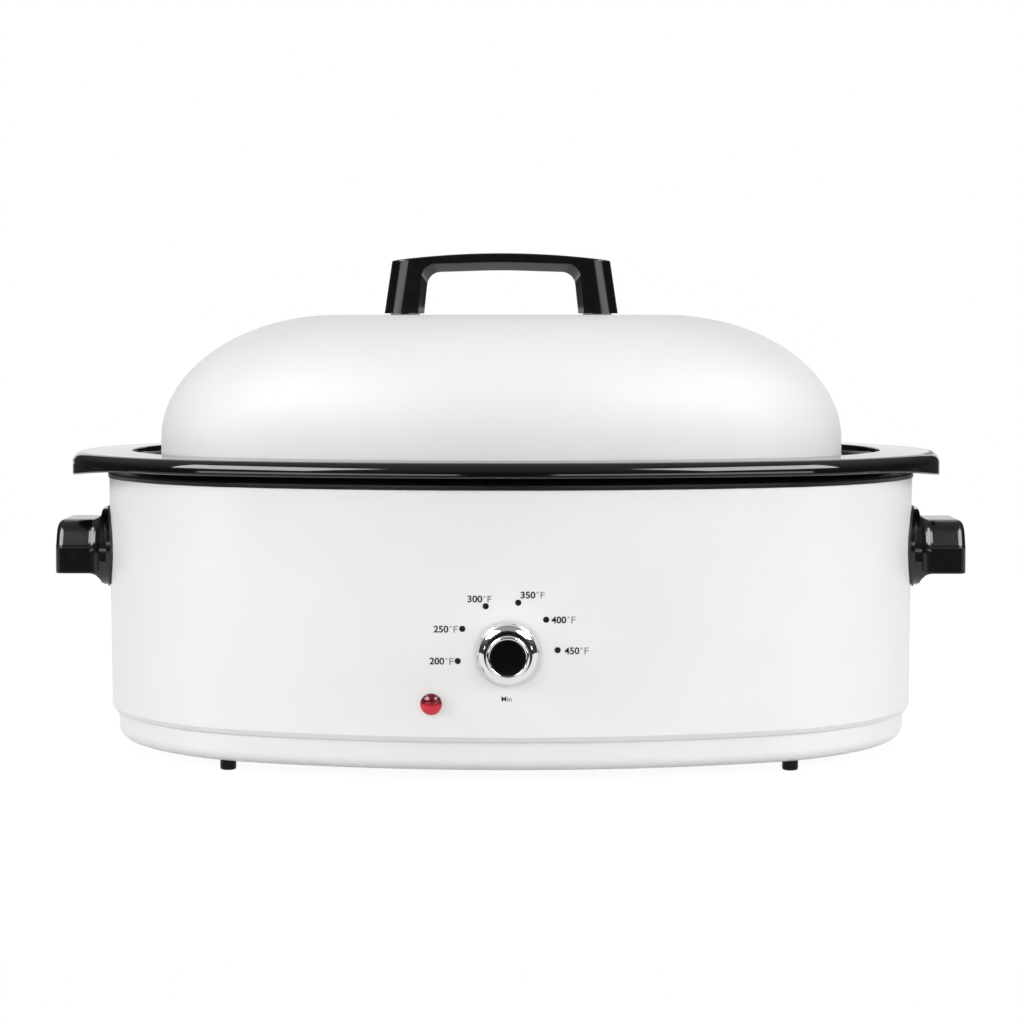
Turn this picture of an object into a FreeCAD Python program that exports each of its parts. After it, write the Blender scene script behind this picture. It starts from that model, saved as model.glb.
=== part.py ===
"""Electric roaster oven: a heated oval body, a lift-out cookwell, a rack and a loose lid.

Everything is modelled about the oven's middle axis, +Z up, front towards -Y, in millimetres.
At export it is moved along Y once, so that the origin is the bottom centre of its box.
"""
import FreeCAD, Part
import math
import os
from FreeCAD import Rotation, Vector

os.makedirs("parts", exist_ok=True)

UP = Vector(0, 0, 1)
DOWN = Vector(0, 0, -1)

# ------------------------------------------------------------------ driving sizes
# plan of the body: an oval of eight arcs
BODY_LENGTH = 526.0
BODY_DEPTH = 410.0
FRONT_BOW = 26.0            # how far the front stands out past its corner arcs
END_BOW = 21.0              # the same for each end
CORNER_SPREAD = 98.0        # from the front to the rear corner arc's centre
CORNER_RADIUS = (BODY_DEPTH - CORNER_SPREAD) / 2 - FRONT_BOW

# how the loose pieces rest: each may stand anywhere within its play
PAN_OFFSET = -3.0           # along the length, from the body's middle
LID_OFFSET = -6.2

# clearances
SEAT_GAP = 0.1              # between fixed pieces that sit against each other
REST_GAP = 0.3              # under a piece that lifts off
HOLE_GAP = 0.2              # radial, a fastener or stem in its hole
TURN_GAP = 0.08             # radial, a shaft that turns

# base pan and feet
FOOT_HEIGHT = 6.4
FOOT_RADIUS = 5.0
FOOT_ANGLE = 56.5           # round each corner arc, from the X axis
FOOT_MARGIN = 0.6           # from a foot's head to the start of the pan's rounding
FOOT_NECK_RADIUS = 3.0
FOOT_HEAD_RADIUS = 3.8
FOOT_HEAD_HEIGHT = 2.2
FOOT_ROUND = 1.6
BASE_WALL = 0.8
BASE_HEIGHT = 18.0          # the ring below the shell
BASE_STEP = 4.6             # how far it stands in from the body's plan
BASE_LEAN = 1.4             # how far it leans in towards the bottom
BASE_ROUND = 7.5
BASE_LAP = 11.0             # how far it reaches up behind the shell

# outer shell
SHELL_WALL = 0.8
SHELL_HEIGHT = 151.7
SHELL_TAPER = 1.2           # inset at the bottom
SHELL_HEM_HEIGHT = 3.2      # turned-in lower edge
SHELL_HEM_DEPTH = 2.1

# inner liner and its black rim
LINER_WALL = 0.7
LINER_INSET = 31.5          # its outer face, from the body's plan
LINER_ROUND = 20.0
LINER_BEAD_HEIGHT = 3.7     # the rolled edge that caps the shell
LINER_BEAD_ROUND = 1.5
LINER_BEAD_LAND = 3.4       # width of the bead's flat top inside the shell
LINER_SEAT_RISE = 7.6       # from the bead's top to the seat
LINER_SEAT_WIDTH = 8.0
LINER_SEAT_ROUND = 2.5
SHELL_IN_BEAD = 1.8         # how far the shell's edge reaches up into the bead

# cookwell
PAN_WALL = 1.0
PAN_ABOVE_BASE = 41.3       # its floor, above the base pan's underside
PAN_MOUTH_INSET = 46.0      # the pan's outer face at its mouth
PAN_DRAFT = 10.0            # how much narrower the wall is at the floor
PAN_ROUND = 25.0            # floor to wall, inside
PAN_MOUTH_ROUND = 4.0
PAN_FLOOR_GAP = 11.0        # air between pan and liner floor
RECESS_DEPTH = 4.6
RECESS_INSET = 18.0
RECESS_ROUND = 1.6
RIM_OUT_END = 21.0          # how far the rim stands out past the body at an end
RIM_OUT_FRONT = 7.0
RIM_CORNER_EXTRA = 7.0
RIM_SLOPE = 0.5             # fall from the crest to the shoulder
RIM_LIP_HEIGHT = 9.4        # shoulder to the lip's lower edge
RIM_LIP_ROUND = 7.5
RIM_ROLL = 3.2              # thickness of the folded lower edge
RIM_ROLL_ROUND = 1.45
RIM_APRON_DROP = 7.0        # how much lower the lip hangs at the very ends
RIM_APRON_LENGTH = 52.0     # from an end to where its lower edge starts to fall
RIM_APRON_EDGE = 0.9

# lid
LID_WALL = 0.9
LID_INSET = 40.0
LID_SKIRT = 11.0            # straight part of the wall
LID_DOME = 81.2
LID_DRAW = 0.52             # share of the plan that the dome closes over
LID_HEM = 2.4
LID_HEM_HEIGHT = 4.0
DOME_SECTIONS = 9

# lid handle
GRIP_FOOT_LENGTH = 153.0
GRIP_LEAN = 5.1             # how far each end leans in from foot to top
GRIP_SHOULDER = 34.4        # height of the top corners
GRIP_ARCH = 4.8
GRIP_WIDTH = 30.0
GRIP_END_ROUND = 11.0
GRIP_LEG = 25.8             # from an end to the hole at its narrowest, halfway through
GRIP_LEG_LEAN = 3.0         # how much the hole closes in from foot to top, on each side
GRIP_GAP_HEIGHT = 26.9      # to the hole's upper corners, halfway through
GRIP_GAP_ARCH = 1.5         # how much higher the hole is in its middle
GRIP_GAP_ROUND = 9.0
GRIP_EDGE_ROUND = 1.2
GRIP_FLARE = 3.5            # how much wider the hole is on each side at the faces
GRIP_FLARE_TOP = 5.1
GRIP_PAD = 0.8              # pad between handle and lid
GRIP_SCREW_RADIUS = 2.5
GRIP_SCREW_DEPTH = 14.0
GRIP_SCREW_INSET = 13.5     # from an end of the foot

# side handles
EAR_REACH = 32.2            # from the shell to the outer face
EAR_HEIGHT = 34.4
EAR_WIDTH = 80.0
EAR_LEDGE = 0.8             # how much further the lower half stands out at front and back
EAR_LEDGE_HEIGHT = 17.6     # from the underside up to the ledge
EAR_SLOPE = 9.0             # how far the upper half's front and back lean in
EAR_TOP_ROUND = 15.0
EAR_NOSE_ROUND = 5.0
EAR_EDGE_ROUND = 1.0
EAR_BELOW_BEAD = 45.2       # the grip's middle, below the shell's top
EAR_FLANGE_DROP = 0.5       # the flange's middle below the grip's
EAR_FLANGE_HEIGHT = 49.6
EAR_FLANGE_WIDTH = 96.0
EAR_FLANGE_WALL = 2.6
EAR_FLANGE_ROUND = 24.0
EAR_FLARE = 8.0             # reach of the flare from flange to grip
EAR_FLARE_SPREAD = 6.8      # how much the flare widens at the flange
EAR_POCKET_LENGTH = 56.0
EAR_POCKET_WIDTH = 20.0
EAR_POCKET_DEPTH = 24.0
EAR_POCKET_WALL = 6.0
EAR_SCREW_SPREAD = 66.0
EAR_SCREW_RADIUS = 2.4
EAR_SCREW_DEPTH = 10.0
GASKET_WALL = 1.0
GASKET_MARGIN = 1.0

# thermostat and knob
DIAL_HEIGHT = 78.4          # height of the knob's axis above the floor
KNOB_RADIUS = 19.4
KNOB_STAND_OFF = 1.4
KNOB_EDGE = 2.0
KNOB_SKIRT_DEPTH = 9.0
KNOB_SKIRT_WALL = 1.2
KNOB_BULGE = 0.12           # of the skirt's slope, as a share of its length
KNOB_MOUTH_RADIUS = 14.6
KNOB_RING_RADIUS = 13.0
KNOB_PROJECTION = 28.0
KNOB_RING_WALL = 2.2
KNOB_RING_ROUND = 1.4
KNOB_CAP_RECESS = 0.5
KNOB_WEB = 2.0
POINTER_WIDTH = 4.0
POINTER_DEPTH = 0.5
POINTER_ANGLE = 207.5       # seen from the front, anticlockwise from +X
SHAFT_RADIUS = 3.0
SHAFT_INSIDE = 13.0         # how far it reaches into the thermostat
COLLAR_RADIUS = 5.0
COLLAR_OUT = 1.0
THERMOSTAT_WIDTH = 46.0
THERMOSTAT_HEIGHT = 38.0
THERMOSTAT_DEPTH = 19.0
THERMOSTAT_ROUND = 4.0
THERMOSTAT_SCREW_SPREAD = 27.0
THERMOSTAT_SCREW_LENGTH = 9.0
THERMOSTAT_HOLE_DEPTH = 12.0
SMALL_SCREW_RADIUS = 1.8
SMALL_HEAD_RADIUS = 3.3
SMALL_HEAD_HEIGHT = 1.8
PROBE_RADIUS = 2.6
PROBE_LENGTH = 70.0
PROBE_DROP = 36.0           # below the knob's axis
PROBE_CLEAR = 1.2           # between the bulb and the liner's wall
CAPILLARY_RADIUS = 1.0
CAPILLARY_BEND = 4.0
CAPILLARY_RUN = 14.0        # straight run beyond the bulb
CAPILLARY_JOIN = 2.0        # how far it starts inside the bulb
CAPILLARY_BEHIND = 11.4     # behind the shell where it enters the thermostat

# pilot lamp
LAMP_X = -46.3
LAMP_Z = 47.6
LENS_RADIUS = 6.5
LENS_RISE = 3.6
LENS_BARREL_RADIUS = 4.8
LENS_BARREL_LENGTH = 9.0
LENS_WALL = 1.0
LENS_RIM = 1.0
BULB_RADIUS = 2.6
BULB_LENGTH = 15.0
RETAINER_RADIUS = 7.5
RETAINER_WALL = 0.8

# heater, insulation and shield
HEATER_WALL = 2.0
HEATER_HEIGHT = 42.0
HEATER_LOW = 62.0           # height of its lower edge above the floor
HEATER_BREAK = 44.0         # gap between its ends, at the back
STRAP_WALL = 0.6
STRAP_HEIGHT = 12.0
TERMINAL_SIZE = 9.0
TERMINAL_CLEAR = 3.0        # from a terminal to the strap's end
TERMINAL_STUD_RADIUS = 2.0
TERMINAL_STUD_LENGTH = 8.0
INSULATION_WALL = 11.0
INSULATION_LOW = 44.0
INSULATION_BELOW_BEAD = 10.1
INSULATION_WINDOW = 128.0   # width of its front and back cut-outs
SHIELD_WALL = 0.5
SHIELD_INSET = 42.0
SHIELD_DROP = 11.6          # below the liner
SHIELD_EDGE = 5.0

# centre stud
STUD_RADIUS = 3.0
STUD_BELOW = 3.6            # how far it stands out under the base pan
SPACER_WALL = 2.0
NUT_FLATS = 10.0
NUT_HEIGHT = 3.0

# cord gland and wiring
GLAND_X = 0.0
GLAND_Z = 48.0
GLAND_BORE_RADIUS = 4.2
GLAND_BARREL_RADIUS = 6.6
GLAND_FLANGE_RADIUS = 9.5
GLAND_FLANGE = 2.6
GLAND_INSIDE = 9.0
GLAND_NUT_FLATS = 19.0
GLAND_NUT_HEIGHT = 4.0
BLOCK_LENGTH = 42.0
BLOCK_WIDTH = 14.0
BLOCK_HEIGHT = 11.0
BLOCK_FROM_END = 167.0      # its middle, from the body's end and back
BLOCK_FROM_BACK = 87.0
LEAD_RADIUS = 1.2
LEAD_PITCH = 11.0
LEAD_BEND = 12.0
LEAD_RUN_BACK = 40.0
LEAD_RUN_FRONT = 60.0

# rack
RACK_INSET = 70.0           # middle of its oval frame wire, from the body's plan
RACK_FRAME_RADIUS = 2.0
RACK_BAR_RADIUS = 1.5
RACK_BAR_PITCH = 25.0
RACK_CLEAR = 10.0           # middle of the frame wire above the pan's floor
RACK_FOOT_FROM_END = 97.0   # from the frame wire's ends and sides
RACK_FOOT_FROM_SIDE = 73.0
PIN_BARS_IN = 1             # bars between an end bar and the one that carries a bail's pin
PIN_SPREAD = 116.0
BAIL_REACH = 45.0
BAIL_SPREAD = 92.0
BAIL_RADIUS = 1.6
BAIL_BEND = 9.0
BAIL_EYE_WALL = 1.4
BAIL_EYE_LENGTH = 5.0

# ------------------------------------------------------------------ heights that follow
Z_BASE = FOOT_HEIGHT
Z_STEP = Z_BASE + BASE_HEIGHT
Z_BEAD = Z_STEP + SHELL_HEIGHT
Z_BEAD_TOP = Z_BEAD + LINER_BEAD_HEIGHT
Z_SEAT = Z_BEAD_TOP + LINER_SEAT_RISE
Z_RECESS = Z_SEAT + REST_GAP + PAN_WALL
Z_CREST = Z_RECESS + RECESS_DEPTH
Z_SHOULDER = Z_CREST - RIM_SLOPE
Z_LIP = Z_SHOULDER - RIM_LIP_HEIGHT
Z_PAN = Z_BASE + PAN_ABOVE_BASE
Z_LINER = Z_PAN - PAN_WALL - PAN_FLOOR_GAP
Z_SHIELD = Z_LINER - LINER_WALL - SHIELD_DROP
Z_LID = Z_RECESS + REST_GAP
Z_DOME = Z_LID + LID_SKIRT
Z_LID_TOP = Z_DOME + LID_DOME
Z_GRIP = Z_LID_TOP + GRIP_PAD
Z_RACK = Z_PAN + RACK_CLEAR
Z_BARS = Z_RACK + RACK_FRAME_RADIUS + SEAT_GAP + RACK_BAR_RADIUS
EAR_CENTRE_Z = Z_BEAD - EAR_BELOW_BEAD
INSULATION_HIGH = Z_BEAD - INSULATION_BELOW_BEAD
BAIL_EYE_RADIUS = RACK_BAR_RADIUS + TURN_GAP + BAIL_EYE_WALL
Z_PIN = Z_BARS + RACK_BAR_RADIUS + REST_GAP + BAIL_EYE_RADIUS


# ------------------------------------------------------------------ the oval plan
class Plan:
    """An oval of eight tangent arcs, given by its half sizes, corner radius and bows."""

    def __init__(self, half_length, half_depth, corner, front_bow, end_bow):
        self.half_length = half_length
        self.half_depth = half_depth
        self.corner = corner
        self.front_bow = front_bow
        self.end_bow = end_bow
        self.corner_x = half_length - corner - end_bow
        self.corner_y = half_depth - corner - front_bow
        reach = half_depth - self.corner_y
        self.front_radius = (self.corner_x ** 2 + reach ** 2 - corner ** 2) / (2 * front_bow)
        reach = half_length - self.corner_x
        self.end_radius = (self.corner_y ** 2 + reach ** 2 - corner ** 2) / (2 * end_bow)
        self.front_centre = self.front_radius - half_depth
        self.end_centre = half_length - self.end_radius

    def inset(self, amount):
        """The same oval, moved inwards all round by one distance."""
        return Plan(self.half_length - amount, self.half_depth - amount, self.corner - amount,
                    self.front_bow, self.end_bow)

    def scaled(self, factor):
        return Plan(self.half_length * factor, self.half_depth * factor, self.corner * factor,
                    self.front_bow * factor, self.end_bow * factor)

    def arcs(self):
        """The eight arcs, anticlockwise from the front: centre, radius, start and sweep."""
        front = math.atan2(self.corner_x, self.corner_y + self.front_centre)
        end = math.atan2(self.corner_y, self.corner_x - self.end_centre)
        corner = math.pi / 2 - front - end
        half_turn = math.pi
        quarter = math.pi / 2
        x, y = self.corner_x, self.corner_y
        return [
            (0, self.front_centre, self.front_radius, -quarter - front, 2 * front),
            (x, -y, self.corner, -quarter + front, corner),
            (self.end_centre, 0, self.end_radius, -end, 2 * end),
            (x, y, self.corner, end, corner),
            (0, -self.front_centre, self.front_radius, quarter - front, 2 * front),
            (-x, y, self.corner, quarter + front, corner),
            (-self.end_centre, 0, self.end_radius, half_turn - end, 2 * end),
            (-x, -y, self.corner, half_turn + end, corner),
        ]

    def wire(self, z):
        edges = []
        for x, y, radius, start, sweep in self.arcs():
            circle = Part.Circle(Vector(x, y, z), UP, radius)
            edges.append(Part.ArcOfCircle(circle, start, start + sweep).toShape())
        return Part.Wire(edges)

    def prism(self, low, high):
        return Part.Face(self.wire(low)).extrude(Vector(0, 0, high - low))

    def long_wall(self, x, side):
        """A point of the front (side -1) or back (side 1) wall, and its outward normal."""
        angle = math.asin(x / self.front_radius)
        normal = Vector(math.sin(angle), side * math.cos(angle), 0)
        middle = Vector(0, -side * self.front_centre, 0)
        return middle + normal * self.front_radius, normal

    def end_wall(self, y, side):
        """A point of the left (side -1) or right (side 1) wall, and its outward normal."""
        angle = math.asin(y / self.end_radius)
        normal = Vector(side * math.cos(angle), math.sin(angle), 0)
        middle = Vector(side * self.end_centre, 0, 0)
        return middle + normal * self.end_radius, normal


BLOCK_X = BODY_LENGTH / 2 - BLOCK_FROM_END
BLOCK_Y = BODY_DEPTH / 2 - BLOCK_FROM_BACK
BODY = Plan(BODY_LENGTH / 2, BODY_DEPTH / 2, CORNER_RADIUS, FRONT_BOW, END_BOW)
RIM = Plan(BODY.half_length + RIM_OUT_END, BODY.half_depth + RIM_OUT_FRONT,
           CORNER_RADIUS + RIM_CORNER_EXTRA, FRONT_BOW, END_BOW)
LID = BODY.inset(LID_INSET)


# ------------------------------------------------------------------ making shapes
def rounded_edges(points, radii, closed=False):
    """Edges through the points, each corner rounded by its radius."""
    count = len(points)
    corners = []
    for index, point in enumerate(points):
        radius = radii[index]
        if not radius or (not closed and index in (0, count - 1)):
            corners.append((point, None, point))
            continue
        back = (points[index - 1] - point).normalize()
        ahead = (points[(index + 1) % count] - point).normalize()
        half = back.getAngle(ahead) / 2
        reach = radius / math.tan(half)
        middle = point + (back + ahead).normalize() * (radius / math.sin(half) - radius)
        corners.append((point + back * reach, middle, point + ahead * reach))
    edges = []
    for index, (arrive, middle, leave) in enumerate(corners):
        if middle is not None:
            edges.append(Part.Arc(arrive, middle, leave).toShape())
        if index < count - 1 or closed:
            following = corners[(index + 1) % count][0]
            if leave.distanceToPoint(following) > 1e-6:
                edges.append(Part.LineSegment(leave, following).toShape())
    return edges


def sewn_solid(faces):
    shell = Part.makeShell(faces)
    shell.sewShape()
    solid = Part.makeSolid(shell)
    if solid.Volume < 0:
        solid.reverse()
    return solid


def swept_faces(plan, outline, closed=False):
    """Faces of an outline of (inset, height, rounding) carried round the oval."""
    faces = []
    radii = [corner[2] for corner in outline]
    for x, y, radius, start, sweep in plan.arcs():
        across = Vector(math.cos(start), math.sin(start), 0)
        middle = Vector(x, y, 0)
        points = [middle + across * (radius - inset) + UP * z for inset, z, _ in outline]
        for edge in rounded_edges(points, radii, closed):
            faces.append(edge.revolve(middle, UP, math.degrees(sweep)))
    return faces


def ring(plan, outline):
    """A solid with one closed outline all the way round the oval."""
    return sewn_solid(swept_faces(plan, outline, True))


def band(plan, outer, inner, low, high):
    """A plain upright band between two insets."""
    return ring(plan, [(outer, low, 0), (outer, high, 0), (inner, high, 0), (inner, low, 0)])


def cap(plan, inset, z):
    return Part.Face(plan.inset(inset).wire(z))


def dish(plan, outline):
    """A dish: an open outline from under its floor, round its edge, to the floor's top."""
    faces = swept_faces(plan, outline)
    faces.append(cap(plan, outline[0][0], outline[0][1]))
    faces.append(cap(plan, outline[-1][0], outline[-1][1]))
    return sewn_solid(faces)


def lofted(wires, ruled=False):
    return Part.makeLoft(wires, True, ruled)


def placed(shape, base, axis):
    """A shape made along +Z, moved so that its origin is at base and +Z along axis."""
    moved = shape.copy()
    moved.Placement = FreeCAD.Placement(base, Rotation(UP, axis)).multiply(moved.Placement)
    return moved


def turned(outline):
    """A solid of revolution about Z from a closed outline of (radius, height, rounding)."""
    points = [Vector(radius, 0, height) for radius, height, _ in outline]
    radii = [corner[2] for corner in outline]
    face = Part.Face(Part.Wire(rounded_edges(points, radii, True)))
    return face.revolve(Vector(0, 0, 0), UP, 360)


def rod(radius, start, end):
    return Part.makeCylinder(radius, (end - start).Length, start, end - start)


def tube_solid(points, bend, radius):
    """A round wire along straight runs joined by bends of one radius."""
    path = Part.Wire(rounded_edges(points, [bend] * len(points)))
    direction = points[1] - points[0]
    section = Part.Wire([Part.Circle(points[0], direction, radius).toShape()])
    return path.makePipeShell([section], True, True)


def block(length, width, height, middle, low):
    corner = Vector(middle.x - length / 2, middle.y - width / 2, low)
    return Part.makeBox(length, width, height, corner)


def round_rect(width, height, radius, x, middle_z):
    """A rounded rectangle upright in the plane of one X, as a wire."""
    w, h = width / 2, height / 2
    points = [Vector(x, y, middle_z + z) for y, z in ((-w, -h), (w, -h), (w, h), (-w, h))]
    return Part.Wire(rounded_edges(points, [radius] * 4, True))


def hexagon(flats, height):
    points = []
    for index in range(6):
        angle = math.radians(60 * index)
        reach = flats / 2 / math.cos(math.radians(30))
        points.append(Vector(reach * math.cos(angle), reach * math.sin(angle), 0))
    return Part.Face(Part.makePolygon(points + points[:1])).extrude(Vector(0, 0, height))


def screw(shank, length, head, head_height):
    """A pan-head screw: its head stands on z = 0 and its shank points down."""
    body = turned([(0, -length, 0), (shank, -length, 0), (shank, 0, 0), (head, 0, 0),
                   (head, head_height, head_height / 2), (0, head_height, 0)])
    slot = Part.makeBox(2 * head, head / 4, head_height / 2,
                        Vector(-head, -head / 8, head_height / 2))
    return body.cut(slot)


# ------------------------------------------------------------------ body
def outer_shell():
    hem = SHELL_TAPER + SHELL_HEM_DEPTH
    top = Z_BEAD + SHELL_IN_BEAD
    shell = ring(BODY, [
        (0, top, 0),
        (SHELL_TAPER, Z_STEP + SHELL_HEM_HEIGHT, 0),
        (hem, Z_STEP, 0),
        (hem + SHELL_WALL, Z_STEP, 0),
        (SHELL_TAPER + SHELL_WALL, Z_STEP + SHELL_HEM_HEIGHT, 0),
        (SHELL_WALL, top, 0),
    ])
    through = 4 * SHELL_WALL
    front, normal = BODY.long_wall(0, -1)
    dial = front + UP * DIAL_HEIGHT
    holes = [rod(COLLAR_RADIUS + HOLE_GAP, dial + normal * through, dial - normal * through)]
    for side in (-1, 1):
        spot = dial + Vector(side * THERMOSTAT_SCREW_SPREAD / 2, 0, 0)
        holes.append(rod(SMALL_SCREW_RADIUS + HOLE_GAP, spot + normal * through,
                         spot - normal * through))
    lamp, normal = BODY.long_wall(LAMP_X, -1)
    lamp = lamp + UP * LAMP_Z
    holes.append(rod(LENS_BARREL_RADIUS + HOLE_GAP, lamp + normal * through,
                     lamp - normal * through))
    gland, normal = BODY.long_wall(GLAND_X, 1)
    gland = gland + UP * GLAND_Z
    holes.append(rod(GLAND_BARREL_RADIUS + HOLE_GAP, gland + normal * through,
                     gland - normal * through))
    for side in (-1, 1):
        for spot in ear_screw_spots(side):
            holes.append(rod(EAR_SCREW_RADIUS + HOLE_GAP, spot + Vector(side * through, 0, 0),
                             spot - Vector(side * 3 * through, 0, 0)))
    return shell.cut(holes)


def foot_spots():
    inset = BASE_STEP + BASE_LEAN + BASE_ROUND + FOOT_MARGIN + FOOT_HEAD_RADIUS
    angle = math.radians(FOOT_ANGLE)
    x = BODY.corner_x + (BODY.corner - inset) * math.cos(angle)
    y = BODY.corner_y + (BODY.corner - inset) * math.sin(angle)
    return [Vector(-x, -y, 0), Vector(x, -y, 0), Vector(-x, y, 0), Vector(x, y, 0)]


def base_pan():
    foot = BASE_STEP + BASE_LEAN
    top = Z_STEP + BASE_LAP
    inner_round = BASE_ROUND - BASE_WALL
    pan = dish(BODY, [
        (foot + BASE_ROUND + BASE_WALL, Z_BASE, 0),
        (foot, Z_BASE, BASE_ROUND),
        (BASE_STEP, top, 0),
        (BASE_STEP + BASE_WALL, top, 0),
        (foot + BASE_WALL, Z_BASE + BASE_WALL, inner_round),
        (foot + BASE_ROUND + 2 * BASE_WALL, Z_BASE + BASE_WALL, 0),
    ])
    holes = [rod(STUD_RADIUS + HOLE_GAP, Vector(0, 0, 0), UP * Z_STEP)]
    for spot in foot_spots():
        holes.append(rod(FOOT_NECK_RADIUS + HOLE_GAP, spot, spot + UP * Z_STEP))
    for side in (-1, 1):
        spot = Vector(BLOCK_X + side * BLOCK_LENGTH / 3, BLOCK_Y, 0)
        holes.append(rod(SMALL_SCREW_RADIUS + HOLE_GAP, spot, spot + UP * Z_STEP))
    return pan.cut(holes)


def foot(spot):
    top = Z_BASE + BASE_WALL
    shape = turned([
        (0, 0, 0),
        (FOOT_RADIUS, 0, FOOT_ROUND),
        (FOOT_RADIUS, Z_BASE - SEAT_GAP, 0),
        (FOOT_NECK_RADIUS, Z_BASE - SEAT_GAP, 0),
        (FOOT_NECK_RADIUS, top + SEAT_GAP, 0),
        (FOOT_HEAD_RADIUS, top + SEAT_GAP, 0),
        (FOOT_NECK_RADIUS, top + SEAT_GAP + FOOT_HEAD_HEIGHT, 0),
        (0, top + SEAT_GAP + FOOT_HEAD_HEIGHT, 0),
    ])
    shape.translate(spot)
    return shape


def inner_liner():
    wall = LINER_WALL
    inner = LINER_INSET + wall
    bead_out = -(wall + SEAT_GAP)
    seat_end = LINER_INSET - LINER_SEAT_WIDTH
    floor = Z_LINER - wall
    return dish(BODY, [
        (LINER_INSET + LINER_ROUND + 2 * wall, floor, 0),
        (LINER_INSET, floor, LINER_ROUND + wall),
        (LINER_INSET, Z_SEAT - wall, LINER_SEAT_ROUND),
        (seat_end, Z_SEAT - wall, LINER_SEAT_ROUND),
        (LINER_BEAD_LAND, Z_BEAD_TOP - wall, LINER_SEAT_ROUND),
        (-SEAT_GAP, Z_BEAD_TOP - wall, LINER_BEAD_ROUND - wall),
        (-SEAT_GAP, Z_BEAD, 0),
        (bead_out, Z_BEAD, 0),
        (bead_out, Z_BEAD_TOP, LINER_BEAD_ROUND),
        (LINER_BEAD_LAND, Z_BEAD_TOP, LINER_SEAT_ROUND),
        (seat_end, Z_SEAT, LINER_SEAT_ROUND),
        (inner, Z_SEAT, LINER_SEAT_ROUND),
        (inner, Z_LINER, LINER_ROUND),
        (inner + LINER_ROUND + wall, Z_LINER, 0),
    ])


def break_box(width, side):
    """A box that cuts a band open at the front (side -1) or back (side 1)."""
    depth = BODY.half_depth
    return block(width, depth, Z_CREST, Vector(0, side * depth, 0), 0)


def band_heater():
    outer = LINER_INSET - SEAT_GAP - HEATER_WALL
    heater = band(BODY, outer, LINER_INSET - SEAT_GAP, HEATER_LOW, HEATER_LOW + HEATER_HEIGHT)
    return heater.cut(break_box(HEATER_BREAK, 1))


def heater_strap():
    inner = LINER_INSET - 2 * SEAT_GAP - HEATER_WALL
    low = HEATER_LOW + (HEATER_HEIGHT - STRAP_HEIGHT) / 2
    strap = band(BODY, inner - STRAP_WALL, inner, low, low + STRAP_HEIGHT)
    return strap.cut(break_box(HEATER_BREAK + 2 * (TERMINAL_SIZE + TERMINAL_CLEAR), 1))


def terminal_spots():
    """Middle of each terminal block, on the heater's face beside the break."""
    face = BODY.inset(LINER_INSET - 2 * SEAT_GAP - HEATER_WALL)
    height = HEATER_LOW + HEATER_HEIGHT / 2
    spots = []
    for side in (-1, 1):
        point, normal = face.long_wall(side * (HEATER_BREAK + TERMINAL_SIZE) / 2, 1)
        spots.append((point + UP * height, normal))
    return spots


def heater_terminals():
    shapes = []
    for point, normal in terminal_spots():
        tab = Part.makeBox(TERMINAL_SIZE, TERMINAL_SIZE, 2,
                           Vector(-TERMINAL_SIZE / 2, -TERMINAL_SIZE / 2, 2 * SEAT_GAP))
        stud = rod(TERMINAL_STUD_RADIUS, UP * (2 * SEAT_GAP), UP * TERMINAL_STUD_LENGTH)
        shapes.append(placed(tab.fuse(stud), point, normal))
    return Part.makeCompound(shapes)


def insulation():
    inner = LINER_INSET - 3 * SEAT_GAP - HEATER_WALL - STRAP_WALL
    blanket = band(BODY, inner - INSULATION_WALL, inner, INSULATION_LOW, INSULATION_HIGH)
    window_top = DIAL_HEIGHT + THERMOSTAT_HEIGHT
    height = window_top - INSULATION_LOW + 1
    cuts = []
    for side in (-1, 1):
        middle = Vector(0, side * BODY.half_depth, 0)
        cuts.append(block(INSULATION_WINDOW, BODY.half_depth, height, middle,
                          INSULATION_LOW - 1))
    return blanket.cut(cuts)


def heat_shield():
    edge = Z_SHIELD + SHIELD_EDGE
    shield = dish(BODY, [
        (SHIELD_INSET + 2 * SHIELD_EDGE, Z_SHIELD, 0),
        (SHIELD_INSET + SHIELD_EDGE, Z_SHIELD, 0),
        (SHIELD_INSET, edge, 0),
        (SHIELD_INSET + SHIELD_WALL, edge, 0),
        (SHIELD_INSET + SHIELD_EDGE + SHIELD_WALL, Z_SHIELD + SHIELD_WALL, 0),
        (SHIELD_INSET + 2 * SHIELD_EDGE, Z_SHIELD + SHIELD_WALL, 0),
    ])
    return shield.cut(rod(STUD_RADIUS + HOLE_GAP, Vector(0, 0, 0), UP * Z_LINER))


def centre_stud():
    pad = 3 * STUD_RADIUS
    under = Z_LINER - LINER_WALL - SEAT_GAP
    return turned([
        (0, Z_BASE - STUD_BELOW, 0),
        (STUD_RADIUS, Z_BASE - STUD_BELOW, 0),
        (STUD_RADIUS, under - LINER_WALL, 0),
        (pad, under - LINER_WALL, 0),
        (pad, under, 0),
        (0, under, 0),
    ])


def stud_spacers():
    """Two tubes on the stud that hold the shield between base pan and liner."""
    inner = STUD_RADIUS + HOLE_GAP
    pad = Z_LINER - 2 * LINER_WALL - 2 * SEAT_GAP
    spans = [(Z_BASE + BASE_WALL + SEAT_GAP, Z_SHIELD - SEAT_GAP),
             (Z_SHIELD + SHIELD_WALL + SEAT_GAP, pad)]
    shapes = []
    for low, high in spans:
        shapes.append(turned([(inner, low, 0), (inner + SPACER_WALL, low, 0),
                              (inner + SPACER_WALL, high, 0), (inner, high, 0)]))
    return Part.makeCompound(shapes)


def centre_nut():
    nut = hexagon(NUT_FLATS, NUT_HEIGHT)
    nut = nut.cut(rod(STUD_RADIUS + TURN_GAP, Vector(0, 0, -1), UP * (NUT_HEIGHT + 1)))
    nut.translate(UP * (Z_BASE - SEAT_GAP - NUT_HEIGHT))
    return nut


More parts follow.
